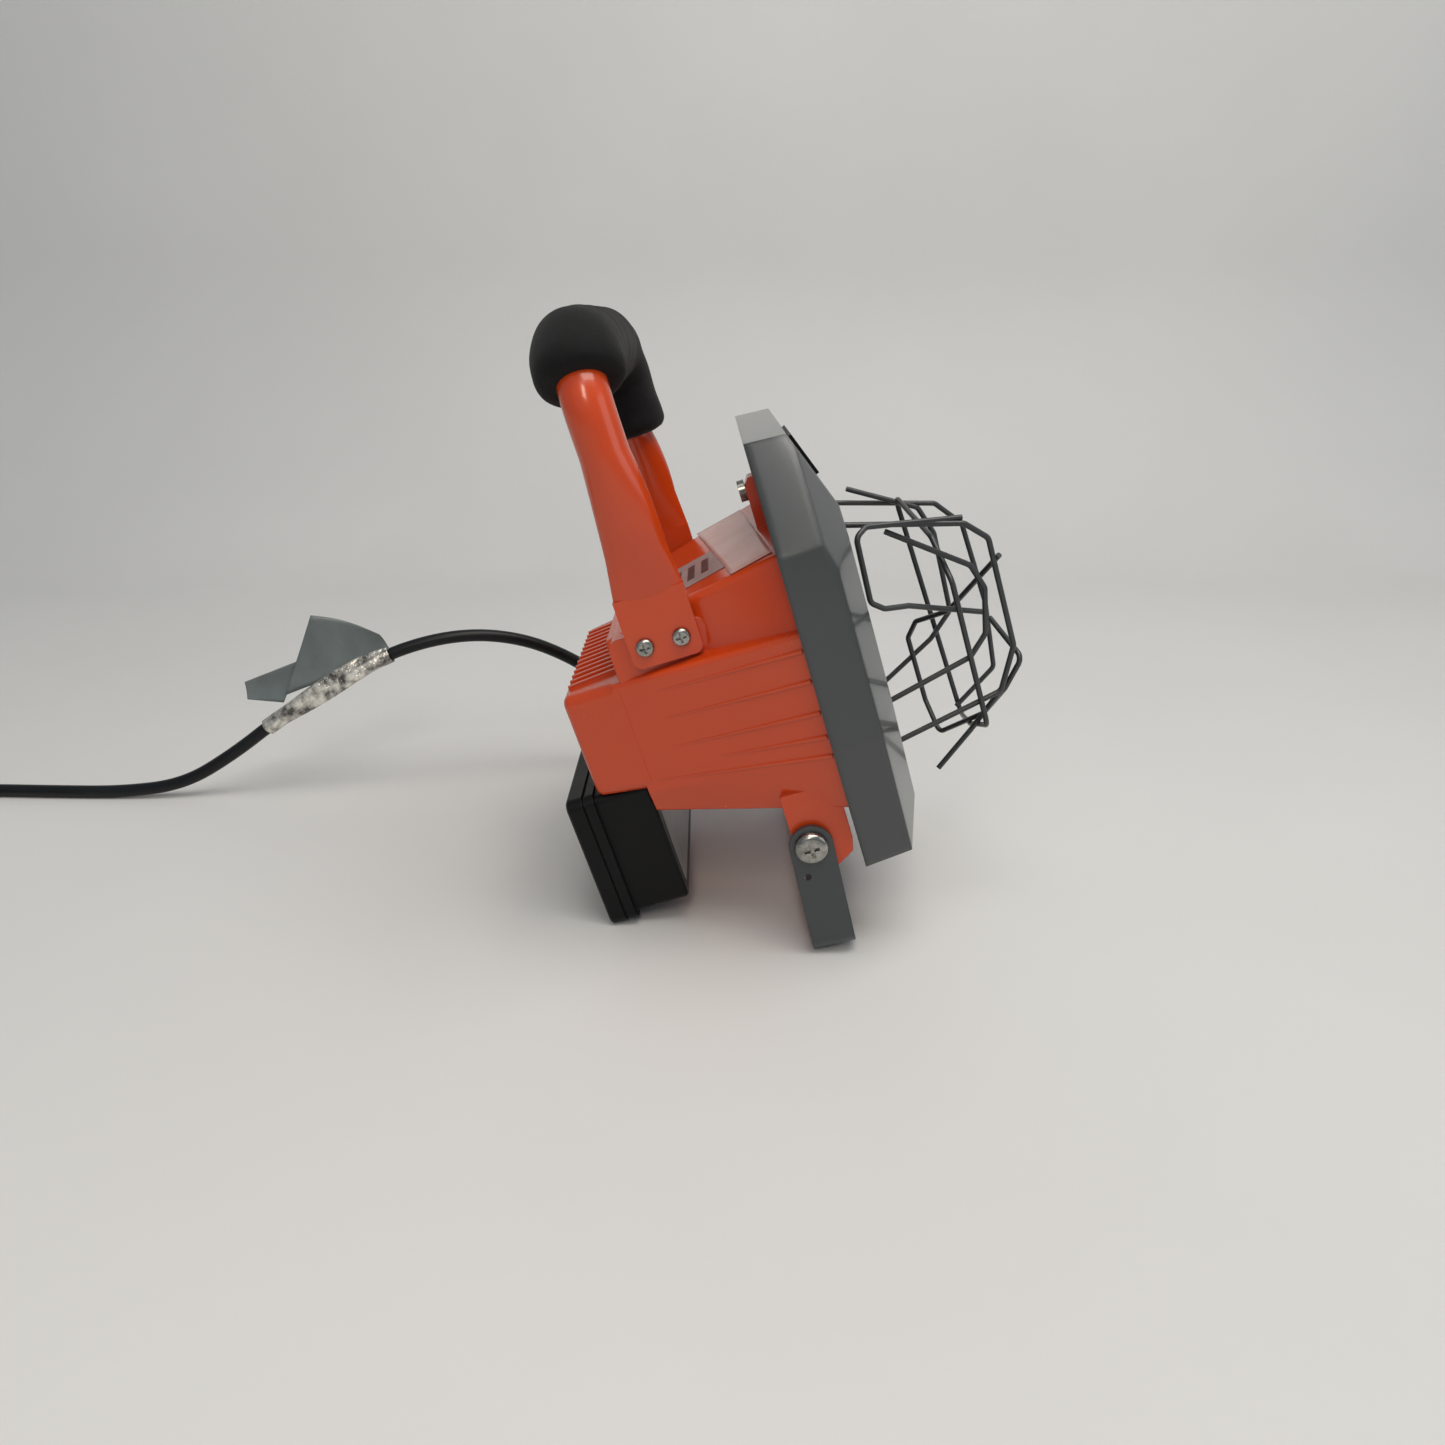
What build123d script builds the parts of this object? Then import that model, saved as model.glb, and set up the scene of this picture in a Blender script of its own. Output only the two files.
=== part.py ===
"""Portable work light: die-cast housing, hinged front frame with glass and wire guard,
tube handle with a foam grip, strap stand, wiring box and mains cord.

Sizes are in mm. The head is drawn upright: x is across, "forward" n is -Y and "up" s is +Z.
It then leans back on its stand, so that the strap and the lid of the wiring box meet z = 0.
"""
from math import cos, pi, radians, sin, sqrt, tan
import os

from build123d import *

# ---- the head on its stand
LEAN = 17.0            # lean of the head, degrees
CENTRE_Y = 42.205      # moves the model's middle to y = 0
LIFT = 0.02            # brings the strap's edge to z = 0
# ---- front frame, as half widths and heights
FRAME_REAR = 81.0
FRAME_FRONT = 112.0
FRAME_TOP = 213.5
FRAME_BOTTOM = 21.0
TOP_HALF = 64.0
SIDE_HALF = 92.0
BOTTOM_HALF = 78.0
UPPER_CORNER = 171.0
LOWER_CORNER = 86.0
FRAME_WALL = 3.0
BEVEL = 36.0            # width of the upper bevel
WINDOW = (112.0, 122.0, 113.0)          # width, height, middle height
# ---- housing
WALL = 3.0
REAR = -28.0
REAR_HALF = 57.0
REAR_ROUND = 4.0
FRONT = 82.0
FRONT_HALF = 88.0
BOX_BOTTOM = 80.0
LEDGE_REAR = 130.5
LEDGE_FRONT = 138.5
HOOD_START = -3.5
FLANGE = (82.0, 85.0)
# ---- handle
TUBE = 20.5
TUBE_WALL = 1.5
LEG_X = 71.0
LEG_N = 27.5
TAB_X = 66.5
TAB_THICK = 4.0
GRIP_Z = 265.0
BEND = 25.0
FOAM = 37.0
FOAM_END = 218.5
FOAM_TURN = 33.0       # where the foam starts on the other bend, degrees
SCREW_N = (17.3, 33.5)
SCREW_Z = 146.0
NUT_X = (51.8, 55.3)
NUT_THICK = 3.2
# ---- stand
PIVOT_N = 60.3
PIVOT_Z = 40.4
EAR_X = 79.0
STRAP_X = 80.0
STRAP_WIDTH = 20.0
STRAP_THICK = 2.5
STRAP_REACH = 55.5
STAND_ANGLE = -3.3     # of the strap's legs to the head, degrees
BOLT_R = 3.0
# ---- frame hinge and latch screw
HINGE_N = 76.3
HINGE_Z = 24.5
KNUCKLE_R = 3.6
PIN_R = 1.5
LATCH_Z = 186.0
LATCH_SEAT = 76.3
# ---- wiring box
BOX_HALF = 54.0
LID_HALF = 56.5
BOX_FRONT = -4.5
BOX_REAR = -31.0
BOX_LOW = 16.0
LID_LOW = 13.3
LID_TOP = 81.5
LID_REAR = -44.5
GLAND_N = -18.0
GLAND_Z = 48.0
NIPPLE_X = 30.0
NIPPLE_N = -16.0
SWITCH_AT = (0.0, 52.0)                 # across and up
# ---- lamp
LAMP_N = 36.0
LAMP_Z = 109.0
LAMP_HALF = 58.8
# ---- wire guard
WIRE = 2.6
GUARD_BASE = 107.3
# ---- cord
CORD = 7.5
RELIEF = 21.0
CORD_LENGTH = 1800.0
COIL_R = 42.6                   # middle of its turns
COIL_AT = (46.0, 500.0)         # across and backwards

os.makedirs("parts", exist_ok=True)
made = {}


# ---------------------------------------------------------------- helpers
def at(x, n, s):
    """A point of the head from across, forward and up."""
    return Vector(x, -n, s)


def facing(n):
    """The plane across the head at a forward distance; it extrudes forwards."""
    return Plane(origin=(0, -n, 0), x_dir=(1, 0, 0), z_dir=(0, -1, 0))


def upright(x):
    """The plane along the head at a distance across; its axes are forward and up."""
    return Plane(origin=(x, 0, 0), x_dir=(0, -1, 0), z_dir=(-1, 0, 0))


def both_sides(half):
    """A closed outline from its right half, given from the bottom to the top."""
    return half + [(-x, z) for x, z in reversed(half)]


def section(n, half, radius=0.0):
    """A face across the head, symmetric, with its corners rounded."""
    face = make_face(Polyline(*both_sides(half), close=True))
    if radius:
        face = fillet(face.vertices(), radius)
    return facing(n) * face


def skin(*sections):
    """A solid with straight sides through sections."""
    return loft(list(sections), ruled=True)


def rod(a, b, radius):
    """A round bar between two points."""
    line = Vector(*b) - Vector(*a)
    return Plane(origin=a, z_dir=line) * Cylinder(radius, line.length, align=(Align.CENTER, Align.CENTER, Align.MIN))


def across_rod(n, s, x0, x1, radius):
    """A round bar along x."""
    return rod(at(x0, n, s), at(x1, n, s), radius)


def forward_rod(x, s, n0, n1, radius):
    """A round bar along the head."""
    return rod(at(x, n0, s), at(x, n1, s), radius)


def block(x0, x1, n0, n1, s0, s1):
    """A box from its limits across, forward and up."""
    return Pos((x0 + x1) / 2, -(n0 + n1) / 2, (s0 + s1) / 2) * Box(x1 - x0, n1 - n0, s1 - s0)


def plate(x0, x1, outline, radius=0.0):
    """A plate that lies along the head, from its forward and up outline."""
    face = make_face(Polyline(*outline, close=True))
    if radius:
        face = fillet(face.vertices(), radius)
    return extrude(upright(x0) * face, amount=-(x1 - x0))


def mirrored(shape):
    """The shape and its copy on the other side."""
    return [shape, mirror(shape, Plane.YZ)]


def wire(points, radius, bend):
    """A bent round wire through points, with equal bends."""
    path = FilletPolyline(*points, radius=bend)
    start = path @ 0
    return sweep(Plane(origin=start, z_dir=path % 0) * Circle(radius), path=path)


def closed_wire(points, radius, bend):
    """A closed bent wire, as two halves that meet in the middle of two sides."""
    half = len(points) // 2
    last = (points[-1] + points[0]) / 2
    middle = (points[half - 1] + points[half]) / 2
    first = wire([last, *points[:half], middle], radius, bend)
    return first + wire([middle, *points[half:], last], radius, bend)


def lean(shape):
    """Moves a solid of the head to where it stands."""
    return Pos(0, CENTRE_Y, LIFT) * Rot(-LEAN, 0, 0) * shape


def keep(name, *solids, leaning=True):
    """Collects a sub-part's solids, in place, under its node name."""
    flat = []
    for item in solids:
        flat += list(item) if isinstance(item, (list, tuple)) else [item]
    placed = [lean(item) if leaning else item for item in flat]
    bodies = []
    for item in placed:
        bodies += item.solids()
    made[name] = Compound(children=bodies) if len(bodies) > 1 else bodies[0]


# ---------------------------------------------------------------- housing
def frame_outline(inset=0.0):
    """The eight-sided outline of the front frame, moved inwards."""
    half = [(BOTTOM_HALF, FRAME_BOTTOM), (SIDE_HALF, LOWER_CORNER), (SIDE_HALF, UPPER_CORNER), (TOP_HALF, FRAME_TOP)]
    face = make_face(Polyline(*both_sides(half), close=True))
    return offset(face, amount=-inset, kind=Kind.INTERSECTION) if inset else face


def side_at(n, wall=0.0):
    """Half width of the flared side walls at a forward distance."""
    return REAR_HALF + (FRONT_HALF - REAR_HALF) * (n - REAR) / (FRONT - REAR) - wall


def housing_solid(wall):
    """Rear box, flared hood and raised middle, as a block that is smaller by a wall."""
    w = wall
    rear = skin(
        section(REAR + w, [(side_at(REAR, w), BOX_BOTTOM + w), (side_at(REAR, w), LEDGE_REAR - w)], 5),
        section(HOOD_START + 3 + w, [(side_at(0, w), BOX_BOTTOM + w), (side_at(0, w), 132.7 - w)], 5),
    )
    if not w:
        rear = fillet(rear.faces().sort_by(Axis.Y)[-1].edges(), REAR_ROUND)
    start = HOOD_START + w
    hood = skin(
        section(start, [(60 - w, 67.5 + w), (side_at(start, w), 79 + w * 0.3), (side_at(start, w), 132.5 - w)], 2.5),
        section(FRONT, [(80.5 - w, 52.5 + w), (FRONT_HALF - w, 83 + w * 0.3), (FRONT_HALF - w, LEDGE_FRONT - w)], 2.5),
    )
    raised = skin(
        section(w, [(58 - w, 126), (58 - w, 150 - w)], 4),
        section(41, [(64.3 - w, 126), (62.8 - w, 160 - w)], 4),
        section(FRONT, [(86.5 - w, 128), (73 - w, 168.8 - w)], 4),
    )
    return rear + hood + raised


def housing():
    """Die-cast body with cooling fins, side ribs, handle pads, stand ears and a latch lug."""
    body = housing_solid(0.0)
    for sign in (-1, 1):
        pad = plate(0, sign * (TAB_X - TAB_THICK / 2), [(1, 129), (1, 151.5), (44, 151.5), (44, 129)], 5)
        body += pad
    body += extrude(facing(FLANGE[0]) * frame_outline(4.4), amount=FLANGE[1] - FLANGE[0])
    lug = [(LATCH_SEAT, 155), (LATCH_SEAT, 188), (78.5, 192), (83, 192), (83, 155)]
    body += plate(-5.5, 5.5, lug, 1.5)
    ear = [(53, 66), (53, 31), (58, 26.5), (70, 26.5), (77.5, 31.5), (79, 38), (79, 66)]
    for sign in (-1, 1):
        body += plate(sign * 71, sign * EAR_X, ear, 1.2)
    body -= housing_solid(WALL)
    for sign in (-1, 1):
        for n, x in zip(SCREW_N, NUT_X):
            body += across_rod(n, SCREW_Z, sign * (x + NUT_THICK), sign * (x + NUT_THICK + 4), 4.2)
    body -= skin(
        section(FLANGE[0] - 0.5, [(77.5, 55.5), (84.5, 81), (84.5, 135.5), (70, 165.8)]),
        section(FLANGE[1] + 0.5, [(77.5, 55.5), (84.5, 81), (84.5, 135.5), (70, 165.8)]),
    )
    body += hinge_lugs()
    body += cooling_fins()
    body += side_ribs()
    return body - housing_holes()


def hinge_lugs():
    """Two knuckles below the flange that hold the frame's pin."""
    lugs = []
    for x0 in (-15, 8.5):
        arm = [(HINGE_N, HINGE_Z), (HINGE_N - 3.4, 26), (HINGE_N + 1, 36), (FLANGE[0] + 0.5, 36), (FLANGE[0] + 0.5, 26)]
        lugs.append(plate(x0, x0 + 6.5, arm) + across_rod(HINGE_N, HINGE_Z, x0, x0 + 6.5, KNUCKLE_R))
    return lugs


def cooling_fins():
    """Low ribs along the top of the rear box."""
    fins = []
    count = 13
    pitch = 7.4
    for i in range(count):
        x = (i - (count - 1) / 2) * pitch
        side = [(-25.5, 129.5), (-25.5, 132.2), (2, 134.6), (2, 129.5)]
        fins.append(plate(x - 1.1, x + 1.1, side))
    return fins


def side_ribs():
    """Fine ribs that grow out of the side walls towards the frame."""
    ribs = []
    for n0, s0, s1 in ((15, 125.8, 130.7), (15, 113, 117.1), (13, 99, 102.7), (33, 90.9, 91.5), (2, 84.5, 82.5)):
        for sign in (-1, 1):
            def cut(n, s, out, half):
                w = side_at(n)
                return facing(n) * make_face(
                    Polyline((sign * (w - 1), s - half), (sign * (w + out), s - half * 0.5),
                             (sign * (w + out), s + half * 0.5), (sign * (w - 1), s + half), close=True))
            ribs.append(skin(cut(n0, s0, 0.05, 0.7), cut(FRONT - 1.5, s1, 1.0, 1.5)))
    return ribs


def housing_holes():
    """Screw, pin, bolt and wiring holes of the housing."""
    holes = [across_rod(HINGE_N, HINGE_Z, -20, 20, PIN_R)]
    holes.append(forward_rod(0, LATCH_Z, 70, 90, 2.1))
    holes.append(nipple_rod(72, 90, 5.1))
    for sign in (-1, 1):
        holes.append(across_rod(PIVOT_N, PIVOT_Z, sign * 66, sign * 82, BOLT_R + 0.05))
        for n in SCREW_N:
            holes.append(across_rod(n, SCREW_Z, sign * 50, sign * 72, 2.05))
    return holes


# ---------------------------------------------------------------- front frame
def frame_block(inset, rear, front, drop):
    """The frame's outer shape with its eight slanted front facets, moved inwards."""
    depth = front - rear
    body = extrude(facing(rear) * frame_outline(inset), amount=depth, taper=4)
    corners = [(TOP_HALF, FRAME_TOP), (SIDE_HALF, UPPER_CORNER), (SIDE_HALF, LOWER_CORNER), (BOTTOM_HALF, FRAME_BOTTOM)]
    facets = [
        ((-TOP_HALF, FRAME_TOP), corners[0], 98.0, BEVEL),
        (corners[0], corners[1], 99.5, 25.0),
        (corners[1], corners[2], 102.5, 26.0),
        (corners[2], corners[3], 102.5, 26.0),
        (corners[3], (-BOTTOM_HALF, FRAME_BOTTOM), 102.0, 17.0),
    ]
    for (x0, z0), (x1, z1), edge, inner in facets:
        slope = (FRAME_FRONT - edge) / inner
        length = sqrt((x1 - x0) ** 2 + (z1 - z0) ** 2)
        along = Vector((x1 - x0) / length, 0, (z1 - z0) / length)
        out = Vector(-along.Z, 0, along.X) * (1 if along.X < 0 or (along.X == 0 and along.Z > 0) else 1)
        if along.cross(Vector(0, -1, 0)).dot(Vector((x0 + x1) / 2, 0, (z0 + z1) / 2 - 117)) > 0:
            out = along.cross(Vector(0, -1, 0))
        else:
            out = along.cross(Vector(0, 1, 0))
        middle = Vector((x0 + x1) / 2, 0, (z0 + z1) / 2)
        edge_n = edge - drop
        near = [(12, edge_n - 12 * slope), (12, edge_n + 60 * slope), (-60, edge_n + 60 * slope)]
        profile = make_face(Polyline(*[middle + out * r + Vector(0, -n, 0) for r, n in near], close=True))
        cutter = extrude(profile, amount=150, dir=along, both=True)
        body -= cutter
        if x0 != -x1:
            body -= mirror(cutter, Plane.YZ)
    return body


def front_frame():
    """Cast front frame: skirt, slanted facets, window, clip posts, latch boss and hinge knuckle."""
    body = frame_block(0, FRAME_REAR, FRAME_FRONT, 0)
    body -= frame_block(FRAME_WALL, FRAME_REAR - 0.01, FRAME_FRONT - FRAME_WALL, FRAME_WALL + 0.3)
    width, height, middle = WINDOW
    window = facing(FRAME_FRONT - 8) * (Pos(0, middle) * RectangleRounded(width, height, 10))
    body -= extrude(window, amount=12)
    for x, s in clip_places():
        body += forward_rod(x, s, 99, 107.6, 3.5) - forward_rod(x, s, 98, 105, 1.25)
    body += forward_rod(0, LATCH_Z, 86.5, 105.5, 5) - forward_rod(0, LATCH_Z, 86, 98, 2.3)
    arm = [(HINGE_N, HINGE_Z), (HINGE_N, 21.2), (84, 21.2), (84, 23.5), (80.3, 24.2)]
    knuckle = plate(-8, 8, arm) + across_rod(HINGE_N, HINGE_Z, -8, 8, KNUCKLE_R)
    return body + knuckle - across_rod(HINGE_N, HINGE_Z, -12, 12, PIN_R + 0.05)


def clip_places():
    """Across and up places of the four glass clips."""
    return [(x, s) for x in (-69, 69) for s in (78, 148)]


def front_glass():
    """Toughened flat glass."""
    width, height, middle = WINDOW
    face = facing(99) * (Pos(0, middle) * RectangleRounded(width + 11, height + 11, 12))
    return extrude(face, amount=4)


def glass_gasket():
    """Silicone ring between the glass and the frame."""
    width, height, middle = WINDOW
    outer = Pos(0, middle) * RectangleRounded(width + 12, height + 12, 12)
    inner = Pos(0, middle) * RectangleRounded(width - 6, height - 6, 9)
    return extrude(facing(103) * (outer - inner), amount=2.8)


def glass_clip(x, s):
    """Spring plate from its post to behind the glass."""
    side = 1 if x > 0 else -1
    clip = block(min(x + side * 4, x - side * 12), max(x + side * 4, x - side * 12), 98.2, 99, s - 5, s + 5)
    return clip - forward_rod(x, s, 97, 100, 1.7)


def small_screw(x, s, tip, neck, head_r=2.8, head=1.9, shank=1.25):
    """A pan-head screw that points forwards."""
    screw = forward_rod(x, s, neck, tip, shank) + forward_rod(x, s, neck - head, neck, head_r)
    return screw - cross_recess_forward(x, s, neck - head, 0.8, head_r * 1.2, 1.0)


def cross_recess_forward(x, s, n, width, reach, depth):
    """A cross-shaped drive recess in a head that faces backwards."""
    w, r = width / 2, reach / 2
    return block(x - w, x + w, n - 1, n + depth, s - r, s + r) + block(x - r, x + r, n - 1, n + depth, s - w, s + w)


def cross_recess_across(side, x, n, s, width, reach, depth):
    """A cross-shaped drive recess in a head that faces outwards."""
    x0, x1 = sorted((side * (x - depth), side * (x + 1)))
    w, r = width / 2, reach / 2
    return block(x0, x1, n - w, n + w, s - r, s + r) + block(x0, x1, n - r, n + r, s - w, s + w)


def latch_screw():
    """The screw that holds the frame shut."""
    screw = forward_rod(0, LATCH_Z, LATCH_SEAT, 96, 2.0) + forward_rod(0, LATCH_Z, LATCH_SEAT - 3.3, LATCH_SEAT, 5.0)
    return screw - cross_recess_forward(0, LATCH_Z, LATCH_SEAT - 3.3, 1.2, 5.4, 1.6)


def front_badge():
    """Blank plate on the upper bevel."""
    rise = (FRAME_FRONT - 98.0) / BEVEL
    size = sqrt(1 + rise**2)
    def corner(along, out):
        return (98 + (along * rise + out) / size, FRAME_TOP + (out * rise - along) / size)
    return plate(-21, 21, [corner(8, 0.02), corner(29, 0.02), corner(29, 1.5), corner(8, 1.5)])


# ---------------------------------------------------------------- wire guard
def guard_point(x, n, s):
    """A bend of a guard wire."""
    return at(-x, n, s)


def guard_wires():
    """Bent wires of the guard, each as its bends: across, forward, up."""
    near = 36
    far = -36
    wires = [
        [(far, GUARD_BASE, 164), (far, 165, 146), (far, 176, 132), (far, 179, 88), (far, 176, 52), (far, 152, 36)],
        [(near, GUARD_BASE, 166), (near, 164, 149.5), (near, 173, 140), (near, 174, 88), (near, 164, 68),
         (near, GUARD_BASE, 56.5)],
        [(far + 2.5, 124, 166.5), (far + 2.5, 156, 147), (far + 2.5, 161, 132), (far + 2.5, 160, 90),
         (far + 2.5, 147, 78), (far + 2.5, GUARD_BASE, 56)],
        [(near - 1, 130, 156), (near - 1, 163, 130), (near - 1, 167, 118), (near - 1, 163, 97),
         (near - 1, 154, 88), (near - 1, GUARD_BASE, 76.6)],
        [(near - 2, 164, 151.8), (near + 4, 122, 161.5), (near + 8, 116.5, 159), (near + 8, 115.5, 129),
         (near + 6, 121, 124), (near + 2, 132, 121), (near - 14, 166, 103)],
        [(near, 176, 131), (0, 154, 101), (-20, 140, 94), (-28, 135, 84), (-28, 136, 48), (-18, 138, 32),
         (10, 158, 48), (30, 167, 66), (near, 176.5, 81), (10, 171, 95)],
        [(20, 129, 30.5), (20, 149, 46), (27, 165, 64)],
    ]
    return wires


def guard_hoop():
    """The closed wire that crosses the others."""
    return [(-38.3, 147, 155), (22, 151, 144.5), (38.3, 153, 126), (38.3, 154, 54), (0, 152, 40), (-38.3, 154, 30)]


def guard_base():
    """The closed wire behind the window's edge that carries the others."""
    x = WINDOW[0] / 2 + 3
    return [(-x, GUARD_BASE, 165.5), (x, GUARD_BASE, 165.5), (x, GUARD_BASE, 56.5), (-x, GUARD_BASE, 56.5)]


def wire_guard():
    """Spot-welded guard of bent steel wires."""
    parts = []
    for bends in guard_wires():
        parts.append(wire([guard_point(*p) for p in bends], WIRE / 2, 4.0))
    for corners in (guard_hoop(), guard_base()):
        parts.append(closed_wire([guard_point(*p) for p in corners], WIRE / 2, 6.0))
    x = WINDOW[0] / 2 + 3
    parts.append(across_rod(GUARD_BASE - 0.2, 76.6, -x, x, WIRE / 2 - 0.1))
    whole = parts[0]
    for part in parts[1:]:
        whole += part
    return whole


# ---------------------------------------------------------------- lamp
def reflector():
    """Pressed aluminium reflector with a lip and slots for the lamp ends."""
    def shell(t):
        return skin(
            section(13 + t, [(47 - t, 98 + t), (47 - t, 120 - t)], 4),
            section(45, [(57 - t, 78 + t), (57 - t, 141 - t)], 4),
            section(FLANGE[1] + 0.8, [(69 - t, 64 + t), (69 - t, 157 - t)], 4),
        )
    lip = extrude(facing(FLANGE[1]) * frame_outline(6.5), amount=0.8)
    body = shell(0) + lip - shell(0.8)
    return body - across_rod(LAMP_N, LAMP_Z, -70, 70, 7) - forward_rod(0, LATCH_Z, 80, 90, 2.6)


def lamp_parts():
    """Linear halogen lamp: quartz tube, ceramic ends and filament."""
    tube = across_rod(LAMP_N, LAMP_Z, -46, 46, 5) - across_rod(LAMP_N, LAMP_Z, -43, 43, 4)
    for sign in (-1, 1):
        pinch = block(min(sign * 45, sign * 53), max(sign * 45, sign * 53), LAMP_N - 1.4, LAMP_N + 1.4, LAMP_Z - 4, LAMP_Z + 4)
        tube += pinch
    ends = [across_rod(LAMP_N, LAMP_Z, sign * 53, sign * LAMP_HALF, 3.6) for sign in (-1, 1)]
    filament = across_rod(LAMP_N, LAMP_Z, -40, 40, 0.9)
    return tube, ends, filament


def lamp_holders():
    """Ceramic sockets behind the reflector's ends."""
    holders = []
    for sign in (-1, 1):
        x0, x1 = sorted((sign * (LAMP_HALF - 1.4), sign * 66))
        body = block(x0, x1, LAMP_N - 8, LAMP_N + 8, LAMP_Z - 10, LAMP_Z + 10)
        holders.append(body - across_rod(LAMP_N, LAMP_Z, sign * 50, sign * (LAMP_HALF + 1.2), 4))
    return holders


def holder_brackets():
    """Steel angles that carry the sockets from the reflector's back."""
    brackets = []
    for sign in (-1, 1):
        x0, x1 = sorted((sign * 66, sign * 67.2))
        outer_leg = block(x0, x1, 25, LAMP_N + 8, LAMP_Z - 9, LAMP_Z + 9)
        a, b = sorted((sign * 51.3, sign * 67.2))
        foot = block(a, b, 25, 26.2, LAMP_Z - 9, LAMP_Z + 9)
        brackets.append(outer_leg + foot - forward_rod(sign * 61.5, LAMP_Z, 20, 30, 1.8))
    return brackets


def socket_contacts():
    """Sprung contact buttons of the sockets."""
    return [across_rod(LAMP_N, LAMP_Z, sign * LAMP_HALF, sign * (LAMP_HALF + 1.2), 2) for sign in (-1, 1)]


def lead_wires():
    """Two silicone leads from the terminal block to the sockets."""
    leads = []
    for sign in (-1, 1):
        x = NIPPLE_X + sign * 1.6
        points = [at(x, NIPPLE_N, 60), at(x, NIPPLE_N, 96), at(NIPPLE_X + sign * 6, -8, 104)]
        points += [at(sign * 40, -4, 108), at(sign * 52, 1, 109), at(sign * 61.5, 12, 109), at(sign * 61.5, LAMP_N - 8, 109)]
        leads.append(wire(points, 1.1, 4.0))
    return leads


# ---------------------------------------------------------------- handle
def leg_section(s, x, deep, thick, inset):
    """An oval cross-section of a handle leg, moved inwards by the wall."""
    plane = Plane(origin=(x, -LEG_N, s), x_dir=(0, -1, 0), z_dir=(0, 0, 1))
    shape = Circle(deep / 2 - inset) if deep == thick else Ellipse(deep / 2 - inset, thick / 2 - inset)
    return plane * shape


def leg_tube(round_from, inset=0.0):
    """The upper part of a leg, from nearly flat to round, then plain tube up to the bend."""
    rise = loft([
        Pos(0, 0.9, 0) * leg_section(186, 68.8, 26.4, 11, inset),
        leg_section(204, 70.6, 24.4, 16, inset),
        leg_section(round_from, LEG_X, TUBE, TUBE, inset),
    ])
    return rise + rod(at(LEG_X, LEG_N, round_from), at(LEG_X, LEG_N, GRIP_Z - BEND), TUBE / 2 - inset)


def handle_leg(round_from, inset=0.0):
    """One leg, flattened into its screw tab."""
    outline = [(10.1, 137), (10.1, 168), (41.1, 168), (41.1, 137)]
    tab_face = make_face(Polyline(*outline, close=True))
    tab_face = fillet(tab_face.vertices().sort_by(Axis.Y)[:2], 4)
    tab = extrude(upright(TAB_X - TAB_THICK / 2) * tab_face, amount=-TAB_THICK)
    rise = loft([
        Pos(0, LEG_N - 25.6, 0) * leg_section(166, TAB_X, 31, TAB_THICK, 0),
        Pos(0, 0.9, 0) * leg_section(186, 68.8, 26.4, 11, 0),
    ])
    return tab + rise + leg_tube(round_from) - leg_tube(round_from, TUBE_WALL)


def handle_tube():
    """Bent steel tube, flattened at its ends for the screws."""
    path = handle_path()
    start = Plane(origin=path @ 0, z_dir=path % 0)
    body = sweep(start * (Circle(TUBE / 2) - Circle(TUBE / 2 - TUBE_WALL)), path=path)
    body += handle_leg(FOAM_END - 0.5)
    body += mirror(handle_leg(FOAM_END + 8), Plane.YZ)
    for sign in (-1, 1):
        for n in SCREW_N:
            body -= across_rod(n, SCREW_Z, sign * 60, sign * 75, 2.2)
    return body


def handle_path():
    """Centre line of the handle's top, from the -X bend to the +X bend."""
    low = GRIP_Z - BEND
    start = at(-LEG_X, LEG_N, low)
    end = at(LEG_X, LEG_N, low)
    bend_a = ThreePointArc(start, at(-LEG_X + BEND * (1 - cos(pi / 4)), LEG_N, low + BEND * sin(pi / 4)),
                           at(-LEG_X + BEND, LEG_N, GRIP_Z))
    bar = Line(at(-LEG_X + BEND, LEG_N, GRIP_Z), at(LEG_X - BEND, LEG_N, GRIP_Z))
    bend_b = ThreePointArc(at(LEG_X - BEND, LEG_N, GRIP_Z),
                           at(LEG_X - BEND * (1 - cos(pi / 4)), LEG_N, low + BEND * sin(pi / 4)), end)
    return Wire([bend_a, bar, bend_b])


def foam_grip():
    """Foam sleeve over the top of the handle and round its far bend."""
    low = GRIP_Z - BEND
    turn = radians(FOAM_TURN)
    half = (pi / 2 - turn) / 2 + turn
    centre = -LEG_X + BEND
    first = at(centre - BEND * cos(turn), LEG_N, low + BEND * sin(turn))
    mid = at(centre - BEND * cos(half), LEG_N, low + BEND * sin(half))
    bend_a = ThreePointArc(first, mid, at(centre, LEG_N, GRIP_Z))
    bar = Line(at(centre, LEG_N, GRIP_Z), at(-centre, LEG_N, GRIP_Z))
    bend_b = ThreePointArc(at(-centre, LEG_N, GRIP_Z), at(-centre + BEND * sin(pi / 4), LEG_N, low + BEND * cos(pi / 4)),
                           at(LEG_X, LEG_N, low))
    down = Line(at(LEG_X, LEG_N, low), at(LEG_X, LEG_N, FOAM_END))
    path = Wire([bend_a, bar, bend_b, down])
    sleeve = sweep(Plane(origin=path @ 0, z_dir=path % 0) * Circle(FOAM / 2), path=path)
    return sleeve - sweep(Plane(origin=path @ 0, z_dir=path % 0) * Circle(TUBE / 2 + 0.06), path=path)


def handle_screws():
    """Four pan-head machine screws."""
    screws = []
    for sign in (-1, 1):
        face = TAB_X + TAB_THICK / 2
        for n in SCREW_N:
            shank = across_rod(n, SCREW_Z, sign * 52, sign * face, 2.0)
            head = across_rod(n, SCREW_Z, sign * face, sign * (face + 2.7), 4.0)
            head = fillet(head.edges().group_by(Axis.X)[0 if sign < 0 else -1], 1.6)
            screws.append(shank + head - cross_recess_across(sign, face + 2.7, n, SCREW_Z, 1.0, 4.6, 1.6))
    return screws


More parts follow.
